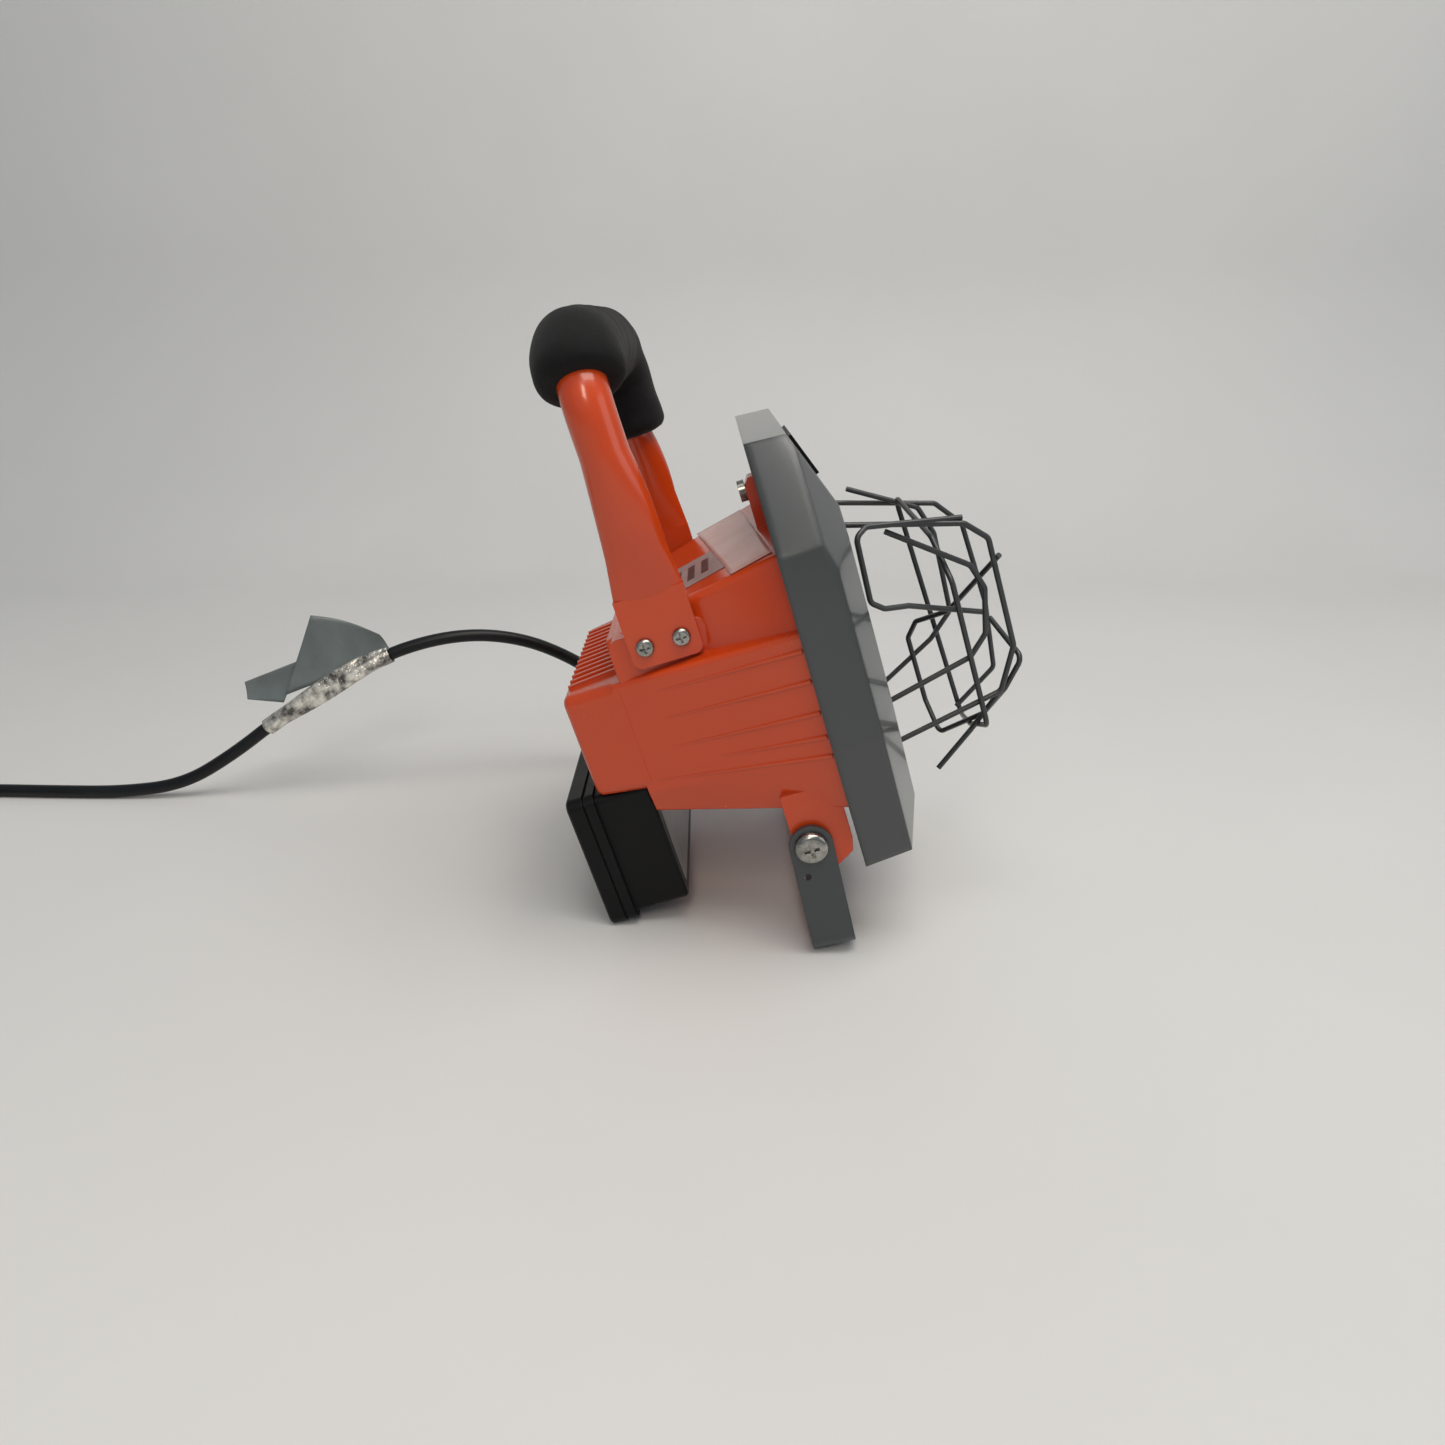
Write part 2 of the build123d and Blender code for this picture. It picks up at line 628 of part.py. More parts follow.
def handle_nuts():
    """Nuts behind the handle pads."""
    nuts = []
    for sign in (-1, 1):
        for n, x in zip(SCREW_N, NUT_X):
            x0 = sign * x
            hexagon = Plane(origin=at(x0, n, SCREW_Z), x_dir=(0, -1, 0), z_dir=(sign, 0, 0)) * RegularPolygon(3.9, 6)
            nuts.append(extrude(hexagon, amount=NUT_THICK) - across_rod(n, SCREW_Z, sign * 50, sign * 64, 2.02))
    return nuts


# ---------------------------------------------------------------- stand
def in_stand(shape):
    """Turns a solid about the stand's pivot to the strap's angle."""
    pivot = at(0, PIVOT_N, PIVOT_Z)
    return Pos(*pivot) * Rot(-STAND_ANGLE, 0, 0) * Pos(*(-pivot)) * shape


def stand_bracket():
    """Flat strap bent into a U, with rounded ends and a stop hole."""
    half = STRAP_WIDTH / 2
    bottom = PIVOT_Z - STRAP_REACH
    outer = STRAP_X + STRAP_THICK
    profile = [(outer, PIVOT_Z), (outer, bottom), (-outer, bottom), (-outer, PIVOT_Z)]
    profile += [(-STRAP_X, PIVOT_Z), (-STRAP_X, bottom + STRAP_THICK), (STRAP_X, bottom + STRAP_THICK), (STRAP_X, PIVOT_Z)]
    face = make_face(Polyline(*profile, close=True))
    ordered = face.vertices().sort_by(Axis.Y)
    face = fillet(ordered[:2], 6 + STRAP_THICK)
    face = fillet(face.vertices().filter_by(lambda v: abs(v.Y - bottom - STRAP_THICK) < 0.01 and abs(v.X) > 79), 6)
    strap = extrude(facing(PIVOT_N - half) * face, amount=STRAP_WIDTH)
    for sign in (-1, 1):
        strap += across_rod(PIVOT_N, PIVOT_Z, sign * STRAP_X, sign * outer, half)
    strap -= across_rod(PIVOT_N, PIVOT_Z, -90, 90, BOLT_R + 0.05)
    strap -= across_rod(PIVOT_N - 4.6, PIVOT_Z - 14.5, -90, 90, 1.6)
    return in_stand(strap)


def pivot_bolts():
    """Truss-head bolts on which the stand turns."""
    bolts = []
    face = STRAP_X + STRAP_THICK
    for sign in (-1, 1):
        shank = across_rod(PIVOT_N, PIVOT_Z, sign * 62, sign * face, BOLT_R)
        head = across_rod(PIVOT_N, PIVOT_Z, sign * face, sign * (face + 3.6), 7.7)
        head = fillet(head.edges().group_by(Axis.X)[0 if sign < 0 else -1], 3.0)
        bolts.append(shank + head - cross_recess_across(sign, face + 3.6, PIVOT_N, PIVOT_Z, 1.7, 7.0, 2.2))
    return bolts


def ring(n, s, x0, x1, outer, inner):
    """A washer along x."""
    return across_rod(n, s, x0, x1, outer) - across_rod(n, s, x0 - 1, x1 + 1, inner)


def pivot_washers():
    """Nylon washers between the ears and the strap."""
    washers = []
    for sign in (-1, 1):
        x0, x1 = sorted((sign * EAR_X, sign * STRAP_X))
        washers.append(ring(PIVOT_N, PIVOT_Z, x0, x1, 8, BOLT_R + 0.02))
    return washers


def pivot_nuts():
    """Lock nuts on the inner side of the ears."""
    nuts = []
    for sign in (-1, 1):
        hexagon = Plane(origin=at(sign * 65, PIVOT_N, PIVOT_Z), x_dir=(0, -1, 0), z_dir=(sign, 0, 0)) * RegularPolygon(5.7, 6)
        nuts.append(extrude(hexagon, amount=6) - across_rod(PIVOT_N, PIVOT_Z, sign * 60, sign * 75, BOLT_R + 0.02))
    return nuts


# ---------------------------------------------------------------- wiring box
def box_screw_places():
    """Across and up places of the lid's screws."""
    return [(x, s) for x in (-50.5, 50.5) for s in (19.5, 75.3)]


def wiring_box():
    """Moulded wiring box, open to the rear, with a flange for its lid."""
    height = BOX_BOTTOM - BOX_LOW
    middle = (BOX_BOTTOM + BOX_LOW) / 2
    body = extrude(facing(BOX_REAR) * (Pos(0, middle) * RectangleRounded(2 * BOX_HALF, height, 4)), amount=BOX_FRONT - BOX_REAR)
    body = fillet(body.faces().sort_by(Axis.Y)[0].edges(), 2.0)
    flange_mid = (LID_LOW + LID_TOP) / 2
    flange = Pos(0, flange_mid) * RectangleRounded(2 * LID_HALF, LID_TOP - LID_LOW, 5)
    body += extrude(facing(-35) * flange, amount=4)
    hollow = Pos(0, middle) * RectangleRounded(2 * BOX_HALF - 5, height - 5, 3)
    body -= extrude(facing(-36) * hollow, amount=36 + BOX_FRONT - 2.5)
    for x, s in box_screw_places():
        body += forward_rod(x, s, -35, -22, 3.6)
        body -= forward_rod(x, s, -36, -24, 1.4)
    body -= across_rod(GLAND_N, GLAND_Z, 45, 60, 6.1)
    body -= nipple_rod(70, 90, 5.1)
    return body


def box_gasket():
    """Rubber gasket of the lid."""
    middle = (LID_LOW + LID_TOP) / 2
    outer = Pos(0, middle) * RectangleRounded(2 * LID_HALF - 2.4, LID_TOP - LID_LOW - 2.4, 4)
    inner = Pos(0, middle) * RectangleRounded(2 * BOX_HALF - 18, BOX_BOTTOM - BOX_LOW - 4, 3)
    sheet = extrude(facing(-36.5) * (outer - inner), amount=1.5)
    for x, s in box_screw_places():
        sheet -= forward_rod(x, s, -38, -34, 1.9)
    return sheet


def box_lid():
    """Lid of the wiring box with screw recesses and the switch opening."""
    middle = (LID_LOW + LID_TOP) / 2
    lid = extrude(facing(LID_REAR) * (Pos(0, middle) * RectangleRounded(2 * LID_HALF, LID_TOP - LID_LOW, 5)),
                  amount=-36.5 - LID_REAR)
    lid = chamfer(lid.faces().sort_by(Axis.Y)[-1].edges(), 1.0)
    lid -= extrude(facing(LID_REAR + 2.5) * (Pos(0, middle) * RectangleRounded(84, 58, 3)), amount=20)
    for x, s in box_screw_places():
        lid -= forward_rod(x, s, LID_REAR - 1, LID_REAR + 2.4, 4.0)
        lid -= forward_rod(x, s, LID_REAR, -30, 1.9)
    return lid - extrude(facing(LID_REAR - 1) * (Pos(*SWITCH_AT) * Rectangle(20, 13)), amount=8)


def lid_screws():
    """Four screws of the lid."""
    return [small_screw(x, s, -25, LID_REAR + 2.4, 3.4, 2.0, 1.4) for x, s in box_screw_places()]


def switch_body():
    """Rocker switch case with its bezel."""
    x, s = SWITCH_AT
    case = block(x - 9.7, x + 9.7, LID_REAR, -29, s - 6.2, s + 6.2)
    case += block(x - 12.5, x + 12.5, LID_REAR - 1.6, LID_REAR, s - 8, s + 8)
    return case - block(x - 8.6, x + 8.6, LID_REAR - 3, LID_REAR + 6.2, s - 5.1, s + 5.1)


def switch_rocker():
    """The rocker on its cross pin."""
    x, s = SWITCH_AT
    top = LID_REAR
    outline = [(-8.1, -1.2), (0, -0.2), (7.3, -3.2), (7.2, 2.5), (3, 4.6), (-3, 4.6), (-7.2, 2.5)]
    face = make_face(Polyline(*outline, close=True))
    plane = Plane(origin=at(x, top, s - 4.9), x_dir=(1, 0, 0), z_dir=(0, 0, 1))
    return extrude(plane * Rot(0, 0, 180) * mirror(face, Plane.YZ), amount=9.8) - rod(
        at(x, top + 2.2, s - 6), at(x, top + 2.2, s + 6), 1.05)


def switch_pin():
    """Cross pin of the rocker."""
    x, s = SWITCH_AT
    return rod(at(x, LID_REAR + 2.2, s - 5.1), at(x, LID_REAR + 2.2, s + 5.1), 1.0)


def nipple_rod(s0, s1, radius):
    """A round bar along the nipple's axis."""
    return rod(at(NIPPLE_X, NIPPLE_N, s0), at(NIPPLE_X, NIPPLE_N, s1), radius)


def wiring_nipple():
    """Threaded nipple that joins the box to the housing and passes the leads."""
    return nipple_rod(72, 88.5, 5.0) - nipple_rod(70, 90, 3.4)


def nipple_nuts():
    """Two lock nuts on the nipple."""
    nuts = []
    for s0 in (74.2, 83.1):
        hexagon = Plane(origin=at(NIPPLE_X, NIPPLE_N, s0), z_dir=(0, 0, 1)) * RegularPolygon(7.4, 6)
        nuts.append(extrude(hexagon, amount=3.2) - nipple_rod(s0 - 1, s0 + 5, 5.02))
    return nuts


def terminal_block():
    """Two-way ceramic terminal block inside the box."""
    body = block(18, 42, -14, -7.2, 42, 58)
    for x in (24, 36):
        body -= rod(at(x, -15, 50), at(x, -8.5, 50), 1.8)
    return body


def terminal_screws():
    """Brass screws of the terminal block."""
    return [rod(at(x, -14.6, 50), at(x, -9, 50), 1.7) for x in (24, 36)]


def box_label():
    """Blank foil label on the front of the box."""
    return block(-46, 48, BOX_FRONT, BOX_FRONT + 0.25, 22, 74)


def top_label():
    """Blank label on the raised middle, on its sloping top."""
    slope = (168.8 - 160) / (FRONT - 41)
    n0, n1 = 44.0, 60.0
    side = [(n0, 160 + (n0 - 41) * slope + 0.02), (n1, 160 + (n1 - 41) * slope + 0.02)]
    side += [(n1, 160 + (n1 - 41) * slope + 0.3), (n0, 160 + (n0 - 41) * slope + 0.3)]
    return plate(-45, 30, side)


# ---------------------------------------------------------------- gland and cord
def cord_gland():
    """Gland body with its nut on the +X end of the box."""
    start = at(BOX_HALF, GLAND_N, GLAND_Z)
    across = Plane(origin=start, x_dir=(0, -1, 0), z_dir=(1, 0, 0))
    nut = extrude(across * RegularPolygon(9.2, 6), amount=6)
    body = nut + across_rod(GLAND_N, GLAND_Z, BOX_HALF - 8, BOX_HALF, 6.0)
    return body - across_rod(GLAND_N, GLAND_Z, 40, 80, CORD / 2 + 0.05)


def gland_nut():
    """Lock nut of the gland inside the box."""
    x0 = BOX_HALF - 2.5 - 3
    hexagon = Plane(origin=at(x0, GLAND_N, GLAND_Z), x_dir=(0, -1, 0), z_dir=(1, 0, 0)) * RegularPolygon(9, 6)
    return extrude(hexagon, amount=3) - across_rod(GLAND_N, GLAND_Z, x0 - 1, x0 + 5, 6.02)


def strain_relief():
    """Tapered rubber sleeve where the cord leaves the gland."""
    x0 = BOX_HALF + 6
    cone = Plane(origin=at(x0, GLAND_N, GLAND_Z), z_dir=(1, 0, 0)) * Cone(
        7.0, 4.9, RELIEF, align=(Align.CENTER, Align.CENTER, Align.MIN))
    return cone - across_rod(GLAND_N, GLAND_Z, x0 - 1, x0 + 40, CORD / 2 + 0.05)


def behind(x, back, z):
    """A point of the standing light from across, backwards and up."""
    return Vector(x, CENTRE_Y + back, z)


def cord_exit():
    """The point where the cord leaves its sleeve, on the standing light."""
    tip = Pos(*at(BOX_HALF + 6 + RELIEF, GLAND_N, GLAND_Z))
    return (Pos(0, CENTRE_Y, LIFT) * Rot(-LEAN, 0, 0) * tip).position


def cord_route():
    """Points of the cord from its sleeve to the coil, on the standing light."""
    start = cord_exit()
    return [
        start,
        start + Vector(23, 0, 0.5),
        behind(124, 42, 47),
        behind(135.5, 61.2, 59),
        behind(135, 84.7, 76),
        behind(126, 112.7, 91.5),
        behind(118.5, 146.7, 97),
        behind(112, 185.7, 89.5),
        behind(106, 222.7, 71),
        behind(102, 257.7, 50),
        behind(99, 288.7, 27),
        behind(96, 320.7, 8.5),
        behind(95.5, 358.7, 3.8),
        behind(97, 401, 3.85),
        behind(99.5, 441, 3.8),
        behind(101.3, 477, 3.85),
    ]


def route_path(points, least):
    """Straight runs joined by arcs as large as the runs allow; prints the radii."""
    radii = []
    for a, b, c in zip(points, points[1:], points[2:]):
        turn = radians((b - a).get_angle(c - b))
        radii.append(0.46 * min((b - a).length, (c - b).length) / tan(turn / 2))
    print("radii", [round(r, 1) for r in radii], "least allowed", least)
    return FilletPolyline(*points, radius=radii)


def tube_along(points, radius, least):
    """A plain tube along a route."""
    path = route_path(points, least)
    solid = sweep(Plane(origin=path @ 0, z_dir=path % 0) * Circle(radius), path=path)
    print("length", round(path.length, 1), "volume ratio", round(solid.volume / (pi * radius**2 * path.length), 4))
    return solid, path.length


def tail_route():
    """Points of the cord from the coil to the plug."""
    x, back = COIL_AT
    return [
        behind(x - 14, back + 58, 9.8),
        behind(x - 38, back + 56, 9.8),
        behind(x - 60, back + 44, 11.6),
        behind(x - 79, back + 30, 11.6),
    ]


def cord_coil():
    """Outer shape of the wound cord, two layers high."""
    x, back = COIL_AT
    outer = COIL_R + 1.75 * CORD
    inner = COIL_R - 1.75 * CORD
    layer = 2 * CORD
    profile = Plane.XZ * (Pos(COIL_R, layer / 2) * RectangleRounded(outer - inner, layer, CORD / 2 - 0.05))
    return Pos(*behind(x, back, 0)) * revolve(profile, Axis.Z)


PLUG_TURN = 216.4


def on_plug(shape):
    """Places a plug solid, drawn along +X from its cord end, at the tail's end."""
    return Pos(*tail_route()[-1]) * Rot(0, 0, PLUG_TURN) * shape


def plug_body():
    """Moulded mains plug with a tapered neck."""
    neck = Plane.YZ * Cone(5.2, 8.5, 18, align=(Align.CENTER, Align.CENTER, Align.MIN))
    head = loft([
        Plane(origin=(14, 0, 0), x_dir=(0, 1, 0), z_dir=(1, 0, 0)) * RectangleRounded(20, 17, 6),
        Plane(origin=(24, 0, 0), x_dir=(0, 1, 0), z_dir=(1, 0, 0)) * RectangleRounded(28, 22, 7),
        Plane(origin=(40, 0, 0), x_dir=(0, 1, 0), z_dir=(1, 0, 0)) * RectangleRounded(30, 23, 7),
    ])
    return on_plug(neck + head)


def plug_blades():
    """Flat blades of the plug."""
    return [on_plug(Pos(40 + 8, y, 2.5) * Box(16, 1.5, 6.4)) for y in (-6.35, 6.35)]


def plug_ground():
    """Round earth pin of the plug."""
    return on_plug(Plane(origin=(40, 0, -7), z_dir=(1, 0, 0)) * Cylinder(2.4, 18, align=(Align.CENTER, Align.CENTER, Align.MIN)))


def cord_tag():
    """Blank flag tag beside the cord."""
    a = behind(112, 185.7, 88.5)
    b = behind(102, 260.7, 48)
    along = (b - a).normalized()
    up = Vector(0.1, 0.45, 0.89)
    up = (up - along * up.dot(along)).normalized()
    base = Plane(origin=(a + b) / 2 + up * 22, x_dir=along, z_dir=along.cross(up))
    return base * Box(62, 32, 0.6)


# ---------------------------------------------------------------- all sub-parts
def build():
    keep("housing", housing())
    keep("front_frame", front_frame())
    keep("front_glass", front_glass())
    keep("glass_gasket", glass_gasket())
    keep("glass_clips", [glass_clip(x, s) for x, s in clip_places()])
    keep("clip_screws", [small_screw(x, s, 104.5, 98.2) for x, s in clip_places()])
    keep("wire_guard", wire_guard())
    keep("front_badge", front_badge())
    keep("hinge_pin", across_rod(HINGE_N, HINGE_Z, -16.5, 16.5, PIN_R))
    keep("latch_screw", latch_screw())
    keep("reflector", reflector())
    tube, ends, filament = lamp_parts()
    keep("lamp_tube", tube)
    keep("lamp_ends", ends)
    keep("lamp_filament", filament)
    keep("lamp_holders", lamp_holders())
    keep("holder_brackets", holder_brackets())
    keep("socket_contacts", socket_contacts())
    keep("lead_wires", lead_wires())
    keep("handle_tube", handle_tube())
    keep("foam_grip", foam_grip())
    keep("handle_screws", handle_screws())
    keep("handle_nuts", handle_nuts())
    keep("stand_bracket", stand_bracket())
    keep("pivot_bolts", pivot_bolts())
    keep("pivot_washers", pivot_washers())
    keep("pivot_nuts", pivot_nuts())
    keep("wiring_box", wiring_box())
    keep("box_gasket", box_gasket())
    keep("box_lid", box_lid())
    keep("lid_screws", lid_screws())
    keep("switch_body", switch_body())
    keep("switch_rocker", switch_rocker())
    keep("switch_pin", switch_pin())
    keep("wiring_nipple", wiring_nipple())
    keep("nipple_nuts", nipple_nuts())
    keep("terminal_block", terminal_block())
    keep("terminal_screws", terminal_screws())
    keep("box_label", box_label())
    keep("top_label", top_label())
    keep("cord_gland", cord_gland())
    keep("gland_nut", gland_nut())
    keep("strain_relief", strain_relief())
    cord, run = tube_along(cord_route(), CORD / 2, 5 * CORD)
    keep("cord", cord, leaning=False)
    tail, rest = tube_along(tail_route(), CORD / 2, 5 * CORD)
    keep("cord_tail", tail, leaning=False)
    turns = (CORD_LENGTH - run - rest) / (2 * pi * COIL_R)
    print("coil turns", round(turns, 2))
    keep("cord_coil", cord_coil(), leaning=False)
    keep("plug_body", plug_body(), leaning=False)
    keep("plug_blades", plug_blades(), leaning=False)
    keep("plug_ground", plug_ground(), leaning=False)
    keep("cord_tag", cord_tag(), leaning=False)


CORD_NODES = ("cord", "cord_tail", "cord_coil", "plug_body", "plug_blades", "plug_ground", "cord_tag")

build()
for name, solid in made.items():
    export_step(solid, f"parts/{name}.step")
box = Compound(children=[s for n, s in made.items() if n not in CORD_NODES]).bounding_box()
print("box without cord", [round(v, 2) for v in (*box.min, *box.max)])
print("sub-parts", len(made))
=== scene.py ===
import math
import bpy
import numpy as np
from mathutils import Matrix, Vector


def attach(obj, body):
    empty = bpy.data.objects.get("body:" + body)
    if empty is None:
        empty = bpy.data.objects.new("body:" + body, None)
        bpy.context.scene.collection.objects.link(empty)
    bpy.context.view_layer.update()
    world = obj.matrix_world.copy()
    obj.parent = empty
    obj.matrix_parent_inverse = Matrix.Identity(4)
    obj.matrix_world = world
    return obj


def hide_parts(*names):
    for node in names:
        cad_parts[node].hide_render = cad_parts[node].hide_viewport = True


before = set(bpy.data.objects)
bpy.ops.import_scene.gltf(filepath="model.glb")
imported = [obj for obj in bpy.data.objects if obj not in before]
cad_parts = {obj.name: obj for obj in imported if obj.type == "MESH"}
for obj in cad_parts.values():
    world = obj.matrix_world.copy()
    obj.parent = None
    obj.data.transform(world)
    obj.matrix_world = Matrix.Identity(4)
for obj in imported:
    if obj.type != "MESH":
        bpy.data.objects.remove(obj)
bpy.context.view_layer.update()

mm = 0.001
print("stage: frame loaded,", len(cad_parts), "nodes")

# How the head stands: it leans back, and its own axes are across, forward and up.
head = {
    "lean": math.radians(17.0),
    "middle": 42.205 * mm,
    "lift": 0.02 * mm,
}


def headToWorld(points):
    # A point (across, forward n, up s) in millimetres: y = middle - (n cos - s sin), z = n sin + s cos.
    p = np.asarray(points, dtype=float) * mm
    c, s = math.cos(head["lean"]), math.sin(head["lean"])
    x, n, up = p[..., 0], p[..., 1], p[..., 2]
    return np.stack([x, head["middle"] - (n * c - up * s), head["lift"] + n * s + up * c], axis=-1)


# ---- camera
view = {
    "place": (-0.49591, 0.042205, 0.27500),
    "look": (0.933038, -0.014511, -0.359485),
    "lens": 26.16,      # on a 36 mm sensor
}

cameraData = bpy.data.cameras.new("camera")
cameraData.lens = view["lens"]
cameraData.sensor_width = 36.0
cameraData.clip_start = 0.01
cameraData.clip_end = 30.0
camera = bpy.data.objects.new("camera", cameraData)
camera.location = view["place"]
camera.rotation_mode = "QUATERNION"
camera.rotation_quaternion = Vector(view["look"]).to_track_quat("-Z", "Y")
bpy.context.scene.collection.objects.link(camera)
bpy.context.scene.camera = camera
print("stage: camera placed")


# ---- materials
def toLinear(hexColour):
    # sRGB hex to linear: c/12.92 below 0.04045, else ((c + 0.055)/1.055)^2.4.
    c = np.array([int(hexColour[i:i + 2], 16) / 255 for i in (1, 3, 5)])
    c = np.where(c <= 0.04045, c / 12.92, ((c + 0.055) / 1.055) ** 2.4)
    return (*c.tolist(), 1.0)


def addNode(tree, kind, links=(), stops=(), **settings):
    # Adds one node. A setting is an attribute, or an input's value with _ for a space.
    # A link is (socket, input), and a stop of a colour ramp is (position, hex colour).
    node = tree.nodes.new(kind)
    for key, value in settings.items():
        if hasattr(node, key):
            setattr(node, key, value)
        else:
            node.inputs[key.replace("_", " ")].default_value = value
    for source, target in links:
        tree.links.new(source, node.inputs[target])
    for count, (position, colour) in enumerate(stops):
        bar = node.color_ramp.elements
        stop = bar[count] if count < len(bar) else bar.new(position)
        stop.position = position
        stop.color = toLinear(colour)
    return node


def newSurface(name, **constants):
    # A material with its shader; returns (material, tree, shader, object coordinates).
    material = bpy.data.materials.new(name)
    material.use_nodes = True
    tree = material.node_tree
    tree.nodes.clear()
    shader = addNode(tree, "ShaderNodeBsdfPrincipled", **constants)
    addNode(tree, "ShaderNodeOutputMaterial", [(shader.outputs["BSDF"], "Surface")])
    return material, tree, shader, addNode(tree, "ShaderNodeTexCoord").outputs["Object"]


def pattern(tree, place, scale, detail=3.0, roughness=0.5):
    # Cloudy pattern on object coordinates; scale is waves per metre.
    settings = {"Scale": scale, "Detail": detail, "Roughness": roughness}
    return addNode(tree, "ShaderNodeTexNoise", [(place, "Vector")], **settings).outputs["Fac"]


def tintBy(tree, shader, value, stops):
    # The shader's colour from a pattern through colour stops.
    mixed = addNode(tree, "ShaderNodeValToRGB", [(value, "Fac")], stops)
    tree.links.new(mixed.outputs["Color"], shader.inputs["Base Color"])


def spreadBy(tree, shader, value, low, high, target="Roughness"):
    # One of the shader's inputs from a pattern, spread from low to high.
    spread = addNode(tree, "ShaderNodeMapRange", [(value, "Value")], To_Min=low, To_Max=high)
    tree.links.new(spread.outputs["Result"], shader.inputs[target])


def roundedBump(tree, shader, height, strength, distance, edge=0.0):
    # Small relief from a height, over edges that are rounded by a radius in metres.
    bump = addNode(tree, "ShaderNodeBump", [(height, "Height")], Strength=strength, Distance=distance)
    if edge:
        bevel = addNode(tree, "ShaderNodeBevel", samples=6, Radius=edge)
        tree.links.new(bevel.outputs["Normal"], bump.inputs["Normal"])
    tree.links.new(bump.outputs["Normal"], shader.inputs["Normal"])


def enamel(name, low, mid, high, gloss, edge=0.0006, peel=0.05, coat=0.25):
    # Baked enamel on cast aluminium or steel: an even colour under a glossy skin, with an orange-peel ripple
    # about 1.5 mm wide that breaks the highlights a little.
    material, tree, shader, place = newSurface(name, IOR=1.5, Coat_Weight=coat, Coat_Roughness=0.07)
    tintBy(tree, shader, pattern(tree, place, 14.0, 4.0, 0.55), [(0.30, low), (0.52, mid), (0.74, high)])
    spreadBy(tree, shader, pattern(tree, place, 45.0, 4.0), gloss - 0.02, gloss + 0.03)
    roundedBump(tree, shader, pattern(tree, place, 650.0, 2.0), peel, 0.0002, edge)
    return material


def platedSteel(name, tint, dark, gloss, scratch=0.12):
    # Zinc or nickel plate on steel: metal, faint cloudy tarnish and fine turning marks about 0.4 mm apart.
    material, tree, shader, place = newSurface(name, Metallic=1.0)
    tintBy(tree, shader, pattern(tree, place, 260.0, 4.0, 0.6), [(0.25, dark), (0.7, tint)])
    spreadBy(tree, shader, pattern(tree, place, 900.0, 3.0), gloss - 0.05, gloss + 0.12)
    roundedBump(tree, shader, pattern(tree, place, 2400.0, 2.0), scratch, 0.00008, 0.0003)
    return material


def mouldedPlastic(name, low, high, gloss, grain, depth=0.12, edge=0.0005, shine=0.5):
    # Moulded plastic or rubber: spark-eroded grain about 1 mm wide that scatters the highlight.
    material, tree, shader, place = newSurface(name, IOR=1.5, Specular_IOR_Level=shine)
    tintBy(tree, shader, pattern(tree, place, 30.0, 4.0), [(0.3, low), (0.75, high)])
    spreadBy(tree, shader, pattern(tree, place, 60.0, 3.0), gloss - 0.07, gloss + 0.07)
    roundedBump(tree, shader, pattern(tree, place, grain, 3.0, 0.6), depth, 0.0002, edge)
    return material


def clearGlass(name, tint, gloss):
    # Toughened soda-lime glass or fused quartz: clear with a faint tint.
    constants = {"Base_Color": toLinear(tint), "IOR": 1.52, "Transmission_Weight": 1.0}
    material, tree, shader, place = newSurface(name, **constants)
    spreadBy(tree, shader, pattern(tree, place, 60.0, 3.0), gloss, gloss + 0.04)
    return material


def hammeredAluminium(name):
    # Bright hammered aluminium: dimples about 4 mm across break the reflection into small facets.
    material, tree, shader, place = newSurface(name, Metallic=1.0, Roughness=0.18)
    tintBy(tree, shader, pattern(tree, place, 90.0), [(0.2, "#C9CBCD"), (0.8, "#E4E6E8")])
    dimples = addNode(tree, "ShaderNodeTexVoronoi", [(place, "Vector")], Scale=260.0)
    roundedBump(tree, shader, dimples.outputs["Distance"], 0.5, 0.0006)
    return material


def closedCellFoam(name):
    # Neoprene foam with a skin: very dark and matt, with pores about 0.7 mm wide and a dusty bloom.
    material, tree, shader, place = newSurface(
        name, Roughness=0.88, Specular_IOR_Level=0.25, Sheen_Weight=0.05, Sheen_Roughness=0.5)
    bloom = pattern(tree, place, 90.0, 6.0, 0.65)
    tintBy(tree, shader, bloom, [(0.25, "#0B0B0C"), (0.6, "#131314"), (0.85, "#1C1C1D")])
    pores = addNode(tree, "ShaderNodeTexVoronoi", [(place, "Vector")], Scale=1500.0)
    links = [(pores.outputs["Distance"], 0), (pattern(tree, place, 2600.0, 3.0), 1)]
    both = addNode(tree, "ShaderNodeMath", links, operation="MULTIPLY")
    roundedBump(tree, shader, both.outputs[0], 0.55, 0.0004)
    return material


def printedLabel(name, paper, ink, gloss, metal):
    # Polyester or paper label: dull, with faint creases about 6 mm wide.
    material, tree, shader, place = newSurface(name, Metallic=metal)
    tintBy(tree, shader, pattern(tree, place, 55.0, 5.0), [(0.3, ink), (0.7, paper)])
    spreadBy(tree, shader, pattern(tree, place, 120.0), gloss - 0.08, gloss + 0.1)
    roundedBump(tree, shader, pattern(tree, place, 180.0, 3.0), 0.12, 0.0003)
    return material


def creasedFilm(name):
    # Clear polyester film, wrapped and creased: glossy, with broken silvery glints painted into its colour as
    # near-white patches, and painted shade as dark grey patches in the hollows.
    material, tree, shader, place = newSurface(name, Roughness=0.16, Metallic=0.6)
    creaseWithPaintedGlint = pattern(tree, place, 140.0, 4.0, 0.6)
    # Painted highlight and painted shade: the colour stops run from dark grey in the crease hollows to near
    # white for glints.
    tintBy(tree, shader, creaseWithPaintedGlint, [(0.35, "#5E5C58"), (0.5, "#C9C6BE"), (0.62, "#FBF7EC")])
    spreadBy(tree, shader, creaseWithPaintedGlint, 0.75, 1.0, "Alpha")
    roundedBump(tree, shader, creaseWithPaintedGlint, 0.9, 0.0025)
    return material


